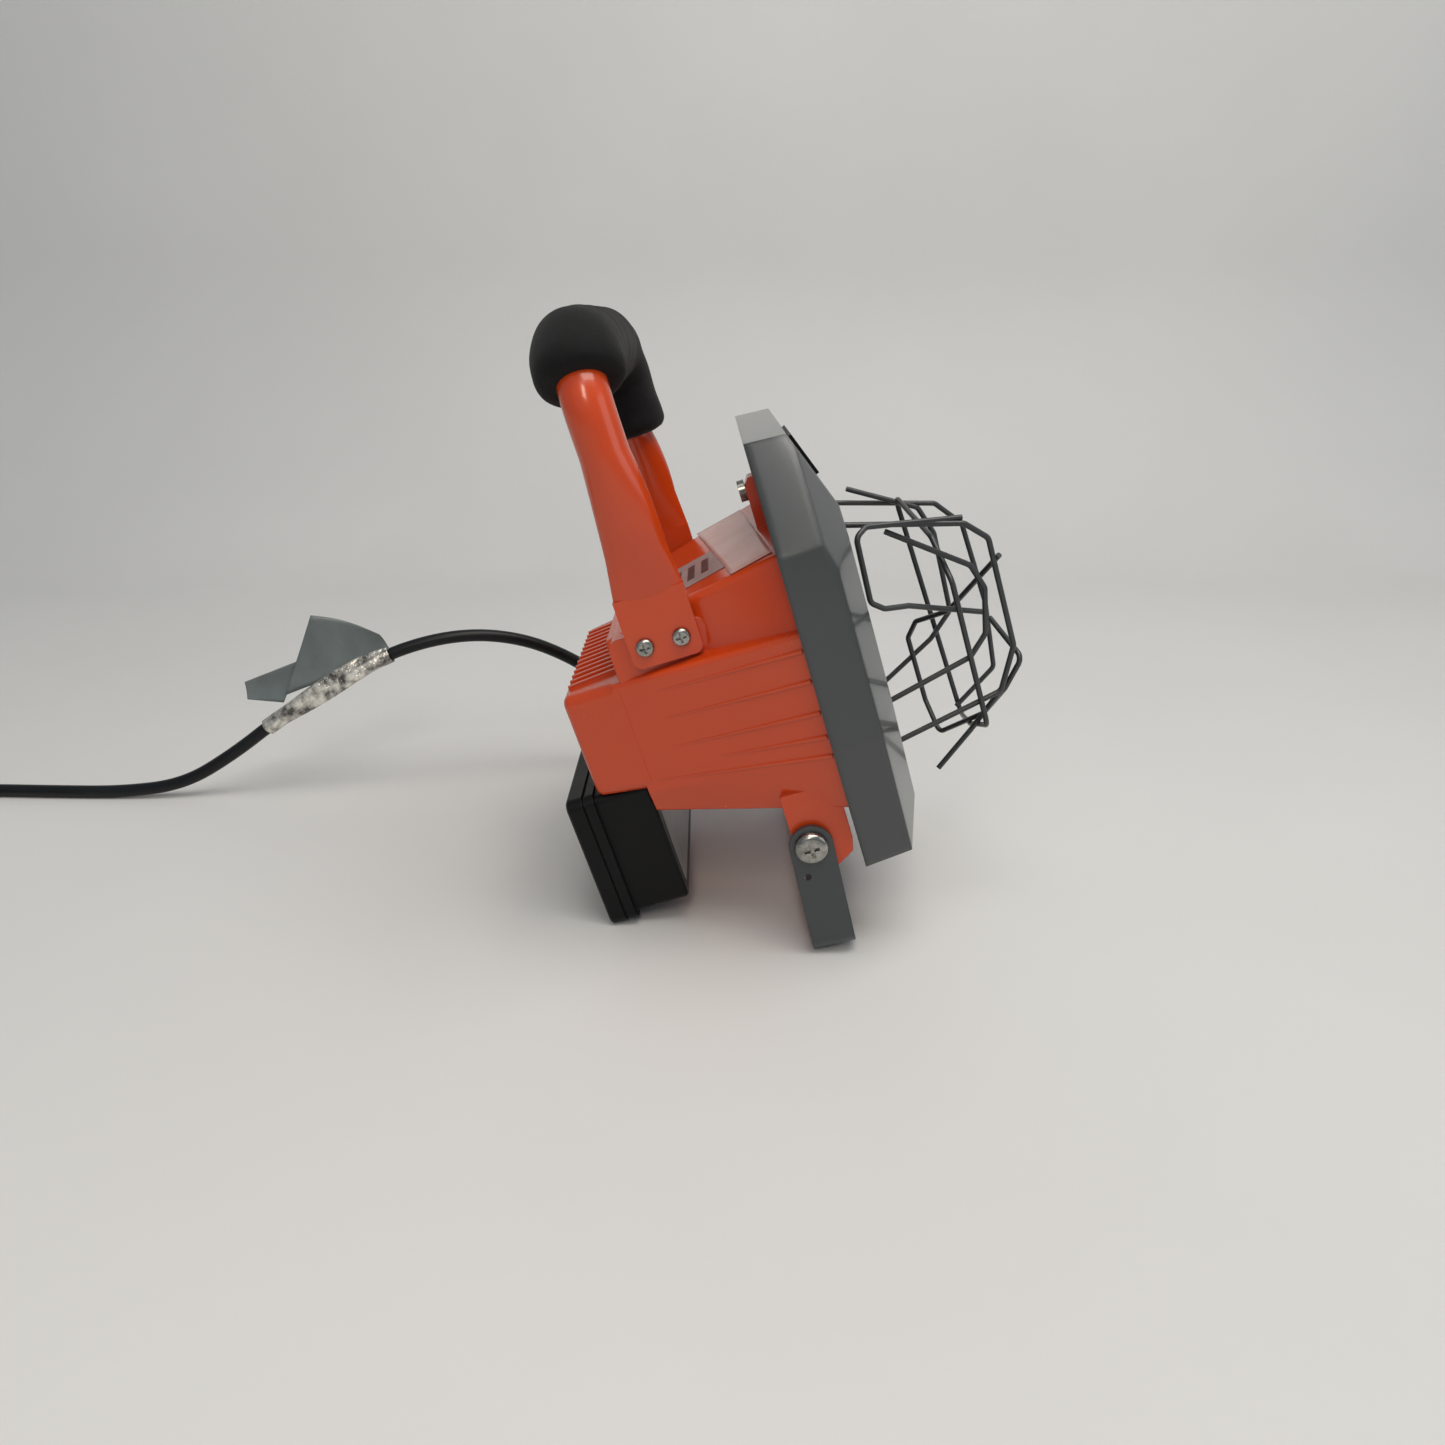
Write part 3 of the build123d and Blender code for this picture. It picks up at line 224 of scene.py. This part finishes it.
def polyesterFlag(name):
    # Blank grey polyester flag, slightly creased.
    material, tree, shader, place = newSurface(name, Roughness=0.35)
    tintBy(tree, shader, pattern(tree, place, 60.0, 4.0), [(0.3, "#5F6869"), (0.7, "#717A7B")])
    roundedBump(tree, shader, pattern(tree, place, 110.0, 3.0), 0.25, 0.0008)
    return material


def protectiveFilm(name):
    # Protective film with adhesive haze: it lightens and dulls the enamel under it.
    material, tree, shader, place = newSurface(name, Roughness=0.22, Alpha=0.74)
    haze = pattern(tree, place, 70.0, 4.0)
    tintBy(tree, shader, haze, [(0.3, "#DDAEA6"), (0.7, "#E6BDB6")])
    roundedBump(tree, shader, haze, 0.2, 0.0006)
    return material


def printingInk(name):
    # Dark printed marks.
    material, tree, shader, place = newSurface(name, Roughness=0.4)
    tintBy(tree, shader, pattern(tree, place, 300.0), [(0.3, "#3E2C2D"), (0.7, "#4F3A3A")])
    return material


def paintedBoard(name, tint, shade):
    # Painted board under soft light: pale, matt, with faint clouding.
    material, tree, shader, place = newSurface(name, Roughness=0.62)
    tintBy(tree, shader, pattern(tree, place, 3.0, 5.0), [(0.3, shade), (0.7, tint)])
    return material


orange = {"low": "#C5400E", "mid": "#C84210", "high": "#CA4412"}
grey = {"low": "#333839", "mid": "#35393B", "high": "#373C3E", "gloss": 0.22, "edge": 0.0045, "coat": 0.6}
strapGrey = {"low": "#34383B", "mid": "#373B3E", "high": "#3B3F42", "gloss": 0.34}
wireGrey = {"low": "#2B2D2F", "mid": "#313335", "high": "#37393B", "gloss": 0.34}

orangeEnamel = enamel("orange_baked_enamel", **orange, gloss=0.26, edge=0.0009)
orangeTube = enamel("orange_enamelled_tube", **orange, gloss=0.25, edge=0.0, peel=0.04, coat=0.35)
greyEnamel = enamel("grey_baked_enamel", **grey)
strapEnamel = enamel("dark_grey_strap_enamel", **strapGrey, edge=0.0004)
guardFinish = enamel("dark_powder_coated_wire", **wireGrey, edge=0.0, peel=0.03, coat=0.1)
zincPlate = platedSteel("zinc_plated_steel", "#B4B3AE", "#777672", 0.22)
plainSteel = platedSteel("rolled_steel", "#A9AAAB", "#77797A", 0.38)
brassPlain = platedSteel("plain_brass", "#D2B062", "#A5833C", 0.30)
tungsten = platedSteel("tungsten_wire", "#8B8A86", "#5E5D5B", 0.40)
blackAbs = mouldedPlastic("black_moulded_abs", "#030304", "#08080A", 0.40, 1400.0, 0.10, 0.0007, 0.22)
blackRubber = mouldedPlastic("black_neoprene_rubber", "#060607", "#0C0C0D", 0.52, 900.0, 0.10, 0.0005, 0.3)
cordRubber = mouldedPlastic("black_cord_jacket", "#08090B", "#111317", 0.38, 420.0, 0.10, 0.0, 0.3)
redRocker = mouldedPlastic("red_moulded_nylon", "#9C1512", "#B61E19", 0.28, 900.0, 0.05)
naturalNylon = mouldedPlastic("natural_nylon", "#CFCDC2", "#DEDCD2", 0.42, 900.0, 0.05)
siliconeSkin = mouldedPlastic("silicone_rubber", "#B9B4AC", "#C9C4BC", 0.45, 700.0, 0.06)
steatite = mouldedPlastic("unglazed_steatite", "#D8D2C3", "#E6E1D4", 0.60, 1800.0, 0.18)
flatGlass = clearGlass("toughened_float_glass", "#EEF5F2", 0.02)
quartzGlass = clearGlass("fused_quartz", "#F4F7F8", 0.01)
brightReflector = hammeredAluminium("hammered_aluminium")
foamSkin = closedCellFoam("neoprene_foam")
silverLabel = printedLabel("metallised_label", "#A8A9A8", "#8E908F", 0.36, 0.55)
paperLabel = printedLabel("printed_paper_label", "#A8918F", "#947E7C", 0.42, 0.1)
bandFilm = creasedFilm("clear_polyester_film")
flagSkin = polyesterFlag("grey_polyester_flag")
topFilm = protectiveFilm("protective_film")
labelInk = printingInk("printed_ink")
paleBoard = paintedBoard("pale_board", "#D4D4D3", "#CFCFCE")

finishes = {
    orangeEnamel: ["housing"],
    orangeTube: ["handle_tube"],
    greyEnamel: ["front_frame"],
    strapEnamel: ["stand_bracket"],
    guardFinish: ["wire_guard"],
    zincPlate: ["handle_screws", "handle_nuts", "pivot_bolts", "pivot_nuts", "hinge_pin", "latch_screw",
                "clip_screws", "lid_screws", "switch_pin", "wiring_nipple", "nipple_nuts"],
    plainSteel: ["glass_clips", "holder_brackets"],
    brassPlain: ["socket_contacts", "terminal_screws", "plug_blades", "plug_ground"],
    tungsten: ["lamp_filament"],
    blackAbs: ["front_badge", "wiring_box", "box_lid", "switch_body", "cord_gland", "gland_nut"],
    blackRubber: ["box_gasket", "strain_relief", "plug_body"],
    redRocker: ["switch_rocker"],
    naturalNylon: ["pivot_washers"],
    siliconeSkin: ["glass_gasket", "lead_wires"],
    steatite: ["lamp_holders", "lamp_ends", "terminal_block"],
    flatGlass: ["front_glass"],
    quartzGlass: ["lamp_tube"],
    brightReflector: ["reflector"],
    silverLabel: ["box_label"],
    paperLabel: ["top_label"],
}
for finish, nodes in finishes.items():
    for node in nodes:
        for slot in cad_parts[node].material_slots:
            slot.material = finish
print("stage: materials on the carried-over nodes")


# ---- helpers for new pieces
def addPiece(name, points, faces, finish, body, smooth=True):
    # A mesh from an array of points and a list of faces, riding on a body.
    mesh = bpy.data.meshes.new(name)
    mesh.from_pydata(np.asarray(points).reshape(-1, 3).tolist(), [], faces)
    mesh.polygons.foreach_set("use_smooth", [smooth] * len(mesh.polygons))
    mesh.materials.append(finish)
    mesh.update()
    piece = bpy.data.objects.new(name, mesh)
    bpy.context.scene.collection.objects.link(piece)
    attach(piece, body)
    return piece


def thicken(piece, wall):
    # Gives a sheet a wall, in millimetres.
    layer = piece.modifiers.new("thickness", "SOLIDIFY")
    layer.thickness = wall * mm
    return piece


def fourCorners(corners, rows, columns):
    # A sheet of points between four corners, blended bilinearly, with its two parameters u and v.
    u = np.linspace(0, 1, columns)[None, :, None]
    v = np.linspace(0, 1, rows)[:, None, None]
    a, b, c, d = [np.array(p, dtype=float) for p in corners]
    return (1 - v) * ((1 - u) * a + u * b) + v * ((1 - u) * d + u * c), u, v


def gridFaces(rows, columns, closedColumns=True, caps=True):
    # Quads between neighbouring grid points; the columns close on themselves, and the ends get one face each.
    last = columns if closedColumns else columns - 1
    i, j = np.meshgrid(np.arange(rows - 1), np.arange(last), indexing="ij")
    k = (j + 1) % columns
    quads = np.stack([i * columns + j, i * columns + k, (i + 1) * columns + k, (i + 1) * columns + j], axis=-1)
    faces = quads.reshape(-1, 4).tolist()
    if caps:
        faces.append(list(range(columns))[::-1])
        faces.append([(rows - 1) * columns + c for c in range(columns)])
    return faces


def carried(path, radius, columns, first):
    # A circle of the given radius at each path point, in a frame carried along the path without twist.
    path = np.asarray(path, dtype=float)
    tangent = np.gradient(path, axis=0)
    tangent /= np.linalg.norm(tangent, axis=1, keepdims=True)
    side = np.zeros_like(path)
    side[0] = np.asarray(first, dtype=float) - np.dot(first, tangent[0]) * tangent[0]
    side[0] /= np.linalg.norm(side[0])
    for i in range(1, len(path)):
        s = side[i - 1] - np.dot(side[i - 1], tangent[i]) * tangent[i]
        side[i] = s / np.linalg.norm(s)
    other = np.cross(tangent, side)
    angle = np.linspace(0, 2 * math.pi, columns, endpoint=False)
    ring = np.cos(angle)[None, :, None] * side[:, None, :] + np.sin(angle)[None, :, None] * other[:, None, :]
    return path[:, None, :] + ring * np.asarray(radius)[..., None]


# ---- foam grip
grip = {
    "legX": 71.0,
    "forward": 27.5,
    "height": 265.0,
    "nearStart": math.radians(33),
    "bend": 25.0,
    "radius": 18.5,
    "endRound": 6.0,
    "farEnd": 219.1,
    "ripple": (0.25, 0.18),     # slow and quick, along the sleeve
    "boreLeast": 10.4,
    "rings": 150,
    "columns": 64,
}


def gripPath(count):
    # Arc on the near bend, straight bar, quarter turn on the far bend, then down the far leg.
    # Also gives the distance t of each point.
    r, x, top = grip["bend"], grip["legX"], grip["height"]
    near = math.pi / 2 - grip["nearStart"]
    lengths = np.array([r * near, 2 * (x - r), r * math.pi / 2, top - r - grip["farEnd"]])
    ends = np.cumsum(lengths)
    t = np.linspace(0, ends[-1], count)
    a = math.pi - grip["nearStart"] - np.clip(t, 0, ends[0]) / r
    nearX, nearZ = -x + r + r * np.cos(a), top - r + r * np.sin(a)
    bar = np.clip(t - ends[0], 0, lengths[1])
    b = math.pi / 2 - np.clip(t - ends[1], 0, lengths[2]) / r
    down = np.clip(t - ends[2], 0, None)
    across = np.where(t < ends[0], nearX, np.where(t < ends[1], -x + r + bar, x - r + r * np.cos(b)))
    up = np.where(t < ends[0], nearZ, np.where(t < ends[1], top, top - r + r * np.sin(b) - down))
    return np.stack([across, np.full(count, grip["forward"]), up], axis=-1), t


def buildGrip():
    # A tube round the handle whose radius is r times (1 + slow ripples), pulled in over a rounded end:
    # radius - e + sqrt(e^2 - (e - d)^2) at a distance d from each end.
    path, t = gripPath(grip["rings"])
    d = np.minimum(t, t[-1] - t)
    e = grip["endRound"]
    inside = np.clip(d, 0, e)
    pull = e - np.sqrt(np.clip(e * e - (e - inside) ** 2, 0, None))
    angle = np.linspace(0, 2 * math.pi, grip["columns"], endpoint=False)
    slow, quick = grip["ripple"]
    ripple = slow * np.sin(t[:, None] * 0.11 + 2 * angle) + quick * np.sin(t[:, None] * 0.31 - 3 * angle)
    radius = np.maximum(grip["radius"] - pull[:, None] + ripple, grip["boreLeast"])
    points = headToWorld(carried(path, radius, grip["columns"], (0, 1, 0)))
    piece = addPiece("foam_sleeve", points, gridFaces(grip["rings"], grip["columns"]), foamSkin, "head")
    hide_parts("foam_grip")


buildGrip()
print("stage: foam grip")

# ---- mains cord
cordSize = {
    "diameter": 7.5,
    "length": 1.80,
    "coilMiddle": (46.0, 500.0),
    "coilOuter": 52.0,
    "pitch": 7.5,
    "turns": 4.22,
    "turnsBelow": 2.5,      # in the lower layer
    "climb": 0.7,           # turns from the innermost turn back to the upper layer
    "widen": 8.75,
    "floorHeight": 3.8,
    "lift": 0.05,
    "rise": 0.5,            # turns in which the cord comes up to the second layer
    "layerHeight": 7.5,
    "pointsPerTurn": 14,
}


def behind(x, back, z):
    # A point across, behind the head's own origin, and up, in millimetres.
    return (x, back + head["middle"] / mm, z)


cordStart = headToWorld([[81.0, -18.0, 48.0]])[0] / mm
cordRoute = [
    tuple(cordStart),
    tuple(cordStart + np.array([23, 0, 0.5])),
    behind(124, 42, 47),
    behind(135.5, 61.2, 59),
    behind(135, 84.7, 76),
    behind(126, 112.7, 91.5),
    behind(118.5, 146.7, 97),
    behind(112, 185.7, 89.5),
    behind(106, 222.7, 71),
    behind(102, 257.7, 50),
    behind(99, 288.7, 27),
    behind(96, 320.7, 8.5),
    behind(95.5, 358.7, 3.8),
    behind(97, 401, 3.85),
    behind(99.5, 441, 3.8),
    behind(99.5, 477, 3.85),
]


def coilPoints():
    # Two layers: the radius shrinks by one diameter a turn, the cord climbs on the innermost half turn,
    # and the upper layer widens again; the turn number t sets the angle 2 pi t.
    turns, below, climb = cordSize["turns"], cordSize["turnsBelow"], cordSize["climb"]
    t = np.linspace(0.04, turns, int(turns * cordSize["pointsPerTurn"]))
    outer, pitch, widen = cordSize["coilOuter"], cordSize["pitch"], cordSize["widen"]
    inner = outer - below * pitch
    climbing = inner + (t - below) / climb * widen
    upper = inner + widen + pitch * (t - below - climb)
    radius = np.where(t < below, outer - pitch * t, np.where(t < below + climb, climbing, upper))
    floor = cordSize["floorHeight"]
    low = floor + cordSize["lift"]
    high = low + cordSize["layerHeight"]
    z = np.interp(t, [0, below - cordSize["rise"], below, turns], [floor, low, high, high])
    x, back = cordSize["coilMiddle"]
    a = 2 * math.pi * t
    scale = 1 / math.cos(math.pi / cordSize["pointsPerTurn"]) ** 0.7
    across, backwards = x + radius * scale * np.cos(a), back + radius * scale * np.sin(a)
    return [behind(*point) for point in zip(across, backwards, z)]


def tailPoints():
    # From the coil to the plug.
    x, back = cordSize["coilMiddle"]
    return [behind(x - 14, back + 58, 10.8), behind(x - 38, back + 56, 9.8), behind(x - 60, back + 44, 11.6),
            behind(x - 79, back + 30, 11.6)]


def buildCord():
    points = np.array([*cordRoute, *coilPoints(), *tailPoints()]) * mm
    data = bpy.data.curves.new("mains_cord", "CURVE")
    data.dimensions = "3D"
    data.resolution_u = 8
    data.bevel_depth = cordSize["diameter"] * mm / 2
    data.bevel_resolution = 6
    data.use_fill_caps = True
    spline = data.splines.new("NURBS")
    spline.points.add(len(points) - 1)
    spline.points.foreach_set("co", np.hstack([points, np.ones((len(points), 1))]).ravel())
    spline.order_u = 3
    spline.use_endpoint_u = True
    data.materials.append(cordRubber)
    piece = bpy.data.objects.new("mains_cord", data)
    bpy.context.scene.collection.objects.link(piece)
    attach(piece, "head")
    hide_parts("cord", "cord_tail", "cord_coil")
    return piece


cord = buildCord()
print("stage: mains cord")

# ---- flag tag on the cord: a clear band wrapped round the cord, with a grey flag and flap
tag = {
    "start": 0.212,         # along the cord, in metres
    "end": 0.300,
    "rings": 60,
    "columns": 40,
    # corners of the sheets as (across, back, up)
    "flag": [(104.0, 254.0, 63.0), (108.5, 189.0, 87.0), (107.5, 194.5, 99.5), (104.0, 232.0, 112.5)],
    "flap": [(104.0, 277.0, 60.5), (105.0, 256.0, 58.0), (105.0, 244.0, 84.0), (104.0, 277.0, 71.5)],
    "bulge": 2.5,
    "sway": 1.8,
    "wall": 0.25,
    "bandWall": 0.2,
    "bandRadius": 4.6,
    "fold": (0.6, 2.2, 0.5),    # at the ends, more in the middle, and the fine folds
}


def routeLine():
    # The cord's own line, as the spline gives it.
    bare = cord.data.copy()
    bare.bevel_depth = 0.0
    holder = bpy.data.objects.new("line", bare)
    mesh = bpy.data.meshes.new_from_object(holder)
    line = np.empty(len(mesh.vertices) * 3)
    mesh.vertices.foreach_get("co", line)
    bpy.data.objects.remove(holder)
    bpy.data.curves.remove(bare)
    bpy.data.meshes.remove(mesh)
    return line.reshape(-1, 3)


def stretch(line, low, high, count):
    # Evenly spaced points of the line between two distances from its start, in metres.
    step = np.linalg.norm(np.diff(line, axis=0), axis=1)
    far = np.concatenate([[0], np.cumsum(step)])
    at = np.linspace(low, high, count)
    return np.stack([np.interp(at, far, line[:, k]) for k in range(3)], axis=-1)


def sheetPiece(name, corners, bulge):
    # A sheet between four corners whose outer edge bulges by sin(pi u), and which sways across by sin(3 v).
    rows, columns = 14, 26
    flat, u, v = fourCorners([behind(*p) for p in corners], rows, columns)
    flat = flat + np.array([0, 0, bulge]) * v * np.sin(math.pi * u)
    flat = flat + np.array([tag["sway"], 0, 0]) * np.sin(3 * v) * (0.4 + u)
    piece = addPiece(name, flat * mm, gridFaces(rows, columns, False, False), flagSkin, "head")
    return thicken(piece, tag["wall"])


def buildTag():
    # The wrapped band has folds that run along it: radius = r + a |sin(1.5 q + 3 u)| + b sin(7 q + 9 u).
    rings, columns = tag["rings"], tag["columns"]
    path = stretch(routeLine(), tag["start"], tag["end"], rings) / mm
    u = np.linspace(0, 1, rings)[:, None]
    q = np.linspace(0, 2 * math.pi, columns, endpoint=False)[None, :]
    swell = np.sin(math.pi * np.clip(u * 1.1 + 0.05, 0, 1))
    least, more, fine = tag["fold"]
    radius = tag["bandRadius"] + (least + more * swell) * np.abs(np.sin(1.5 * q + 3 * u))
    radius = radius + fine * np.sin(7 * q + 9 * u) * swell
    points = carried(path, radius, columns, (1, 0, 0)) * mm
    sleeve = addPiece("tag_band", points, gridFaces(rings, columns, True, False), bandFilm, "head")
    thicken(sleeve, tag["bandWall"])
    flag = sheetPiece("tag_flag", tag["flag"], tag["bulge"])
    flap = sheetPiece("tag_flap", tag["flap"], 0.0)
    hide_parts("cord_tag")
    return sleeve, flag, flap


tagPieces = buildTag()
print("stage: cord tag")


# ---- label and film on the raised top, as (across, forward) corners
film = {"corners": [(-66, 61), (66, 44), (66, 70), (-66, 80)], "gap": 0.48, "wall": 0.12}
label = {
    "across": (-45, 4),
    "forward": (30, 60),
    "gap": 0.20,
    "marks": (33, 40, 47),      # where the printed bars start, forward
    "markAcross": (-34, -8),
    "markWidth": 3.6,
    "markGap": 0.36,
}


def topHeight(n):
    # Height of the raised middle's sloping top at a forward distance.
    return 160 + (n - 41) * (168.8 - 160) / 41


def topPatch(name, corners, finish, gap):
    # A patch between four corners that lies on the sloping top, with a faint ripple across it.
    rows, columns = 12, 20
    flat = fourCorners(corners, rows, columns)[0]
    height = topHeight(flat[..., 1]) + gap + 0.06 * np.sin(flat[..., 0] * 0.35)
    points = headToWorld(np.concatenate([flat, height[..., None]], axis=-1))
    piece = addPiece(name, points, gridFaces(rows, columns, False, False), finish, "head")
    return thicken(piece, film["wall"])


def rectangle(across, forward):
    (x0, x1), (n0, n1) = across, forward
    return [(x0, n0), (x1, n0), (x1, n1), (x0, n1)]


def buildTopLabel():
    sheet = topPatch("top_label_sheet", rectangle(label["across"], label["forward"]), paperLabel, label["gap"])
    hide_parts("top_label")
    for count, start in enumerate(label["marks"]):
        outline = rectangle(label["markAcross"], (start, start + label["markWidth"]))
        topPatch(f"label_mark_{count}", outline, labelInk, label["markGap"])


topPatch("film_strip", film["corners"], topFilm, film["gap"])
buildTopLabel()
print("stage: label and film")


# ---- studio
studio = {
    "floorWidth": 7.0,
    "wallAt": 0.62,
    "wallCurve": 0.35,
    "wallHeight": 3.0,
    "front": -3.0,
    "skyTint": "#DCE4EE",
    "skyStrength": 0.38,
    # each lamp: place, target, size, watts, colour
    "lamps": {
        "top_light": ((-0.35, -0.25, 1.7), (0.0, 0.0, 0.1), (1.3, 1.0), 20.0, "#FFFAF2"),
        "side_fill": ((-1.3, 0.9, 0.9), (0.0, 0.0, 0.15), (1.2, 1.2), 0.5, "#EEF3FF"),
        "strip_light": ((-1.35, 0.22, 1.22), (0.0, 0.0, 0.15), (0.3, 0.5), 5.0, "#FFF3DC"),
        "front_fill": ((-0.6, -1.5, 0.8), (0.0, 0.0, 0.12), (1.0, 1.0), 3.2, "#FFFFFF"),
    },
}


def buildBackdrop():
    # A floor that curves up into a wall: straight, quarter turn, straight, carried across the width.
    r, x0 = studio["wallCurve"], studio["wallAt"]
    floor = np.array([[studio["front"], 0.0], [x0, 0.0]])
    a = np.linspace(0, math.pi / 2, 24)
    turn = np.stack([x0 + r * np.sin(a), r - r * np.cos(a)], axis=-1)
    wall = np.array([[x0 + r, studio["wallHeight"]]])
    profile = np.concatenate([floor[:1], turn, wall])
    y = np.array([-studio["floorWidth"] / 2, studio["floorWidth"] / 2])
    points = np.stack([
        np.repeat(profile[:, :1], 2, axis=1),
        np.broadcast_to(y, (len(profile), 2)),
        np.repeat(profile[:, 1:], 2, axis=1),
    ], axis=-1)
    mesh = bpy.data.meshes.new("backdrop")
    mesh.from_pydata(points.reshape(-1, 3).tolist(), [], gridFaces(len(profile), 2, False, False))
    mesh.polygons.foreach_set("use_smooth", [True] * len(mesh.polygons))
    mesh.materials.append(paleBoard)
    backdrop = bpy.data.objects.new("backdrop", mesh)
    bpy.context.scene.collection.objects.link(backdrop)


def areaLight(name, place, target, size, power, colour):
    data = bpy.data.lights.new(name, "AREA")
    data.shape = "RECTANGLE"
    data.size, data.size_y = size
    data.energy = power
    data.color = toLinear(colour)[:3]
    light = bpy.data.objects.new(name, data)
    light.location = place
    light.rotation_mode = "QUATERNION"
    light.rotation_quaternion = (Vector(target) - Vector(place)).to_track_quat("-Z", "Y")
    bpy.context.scene.collection.objects.link(light)


buildBackdrop()
for name, lamp in studio["lamps"].items():
    areaLight(name, *lamp)
world = bpy.data.worlds.new("studio")
world.use_nodes = True
sky = world.node_tree.nodes["Background"]
sky.inputs["Color"].default_value = toLinear(studio["skyTint"])
sky.inputs["Strength"].default_value = studio["skyStrength"]
bpy.context.scene.world = world
bpy.context.scene.view_settings.view_transform = "Standard"
print("stage: studio")
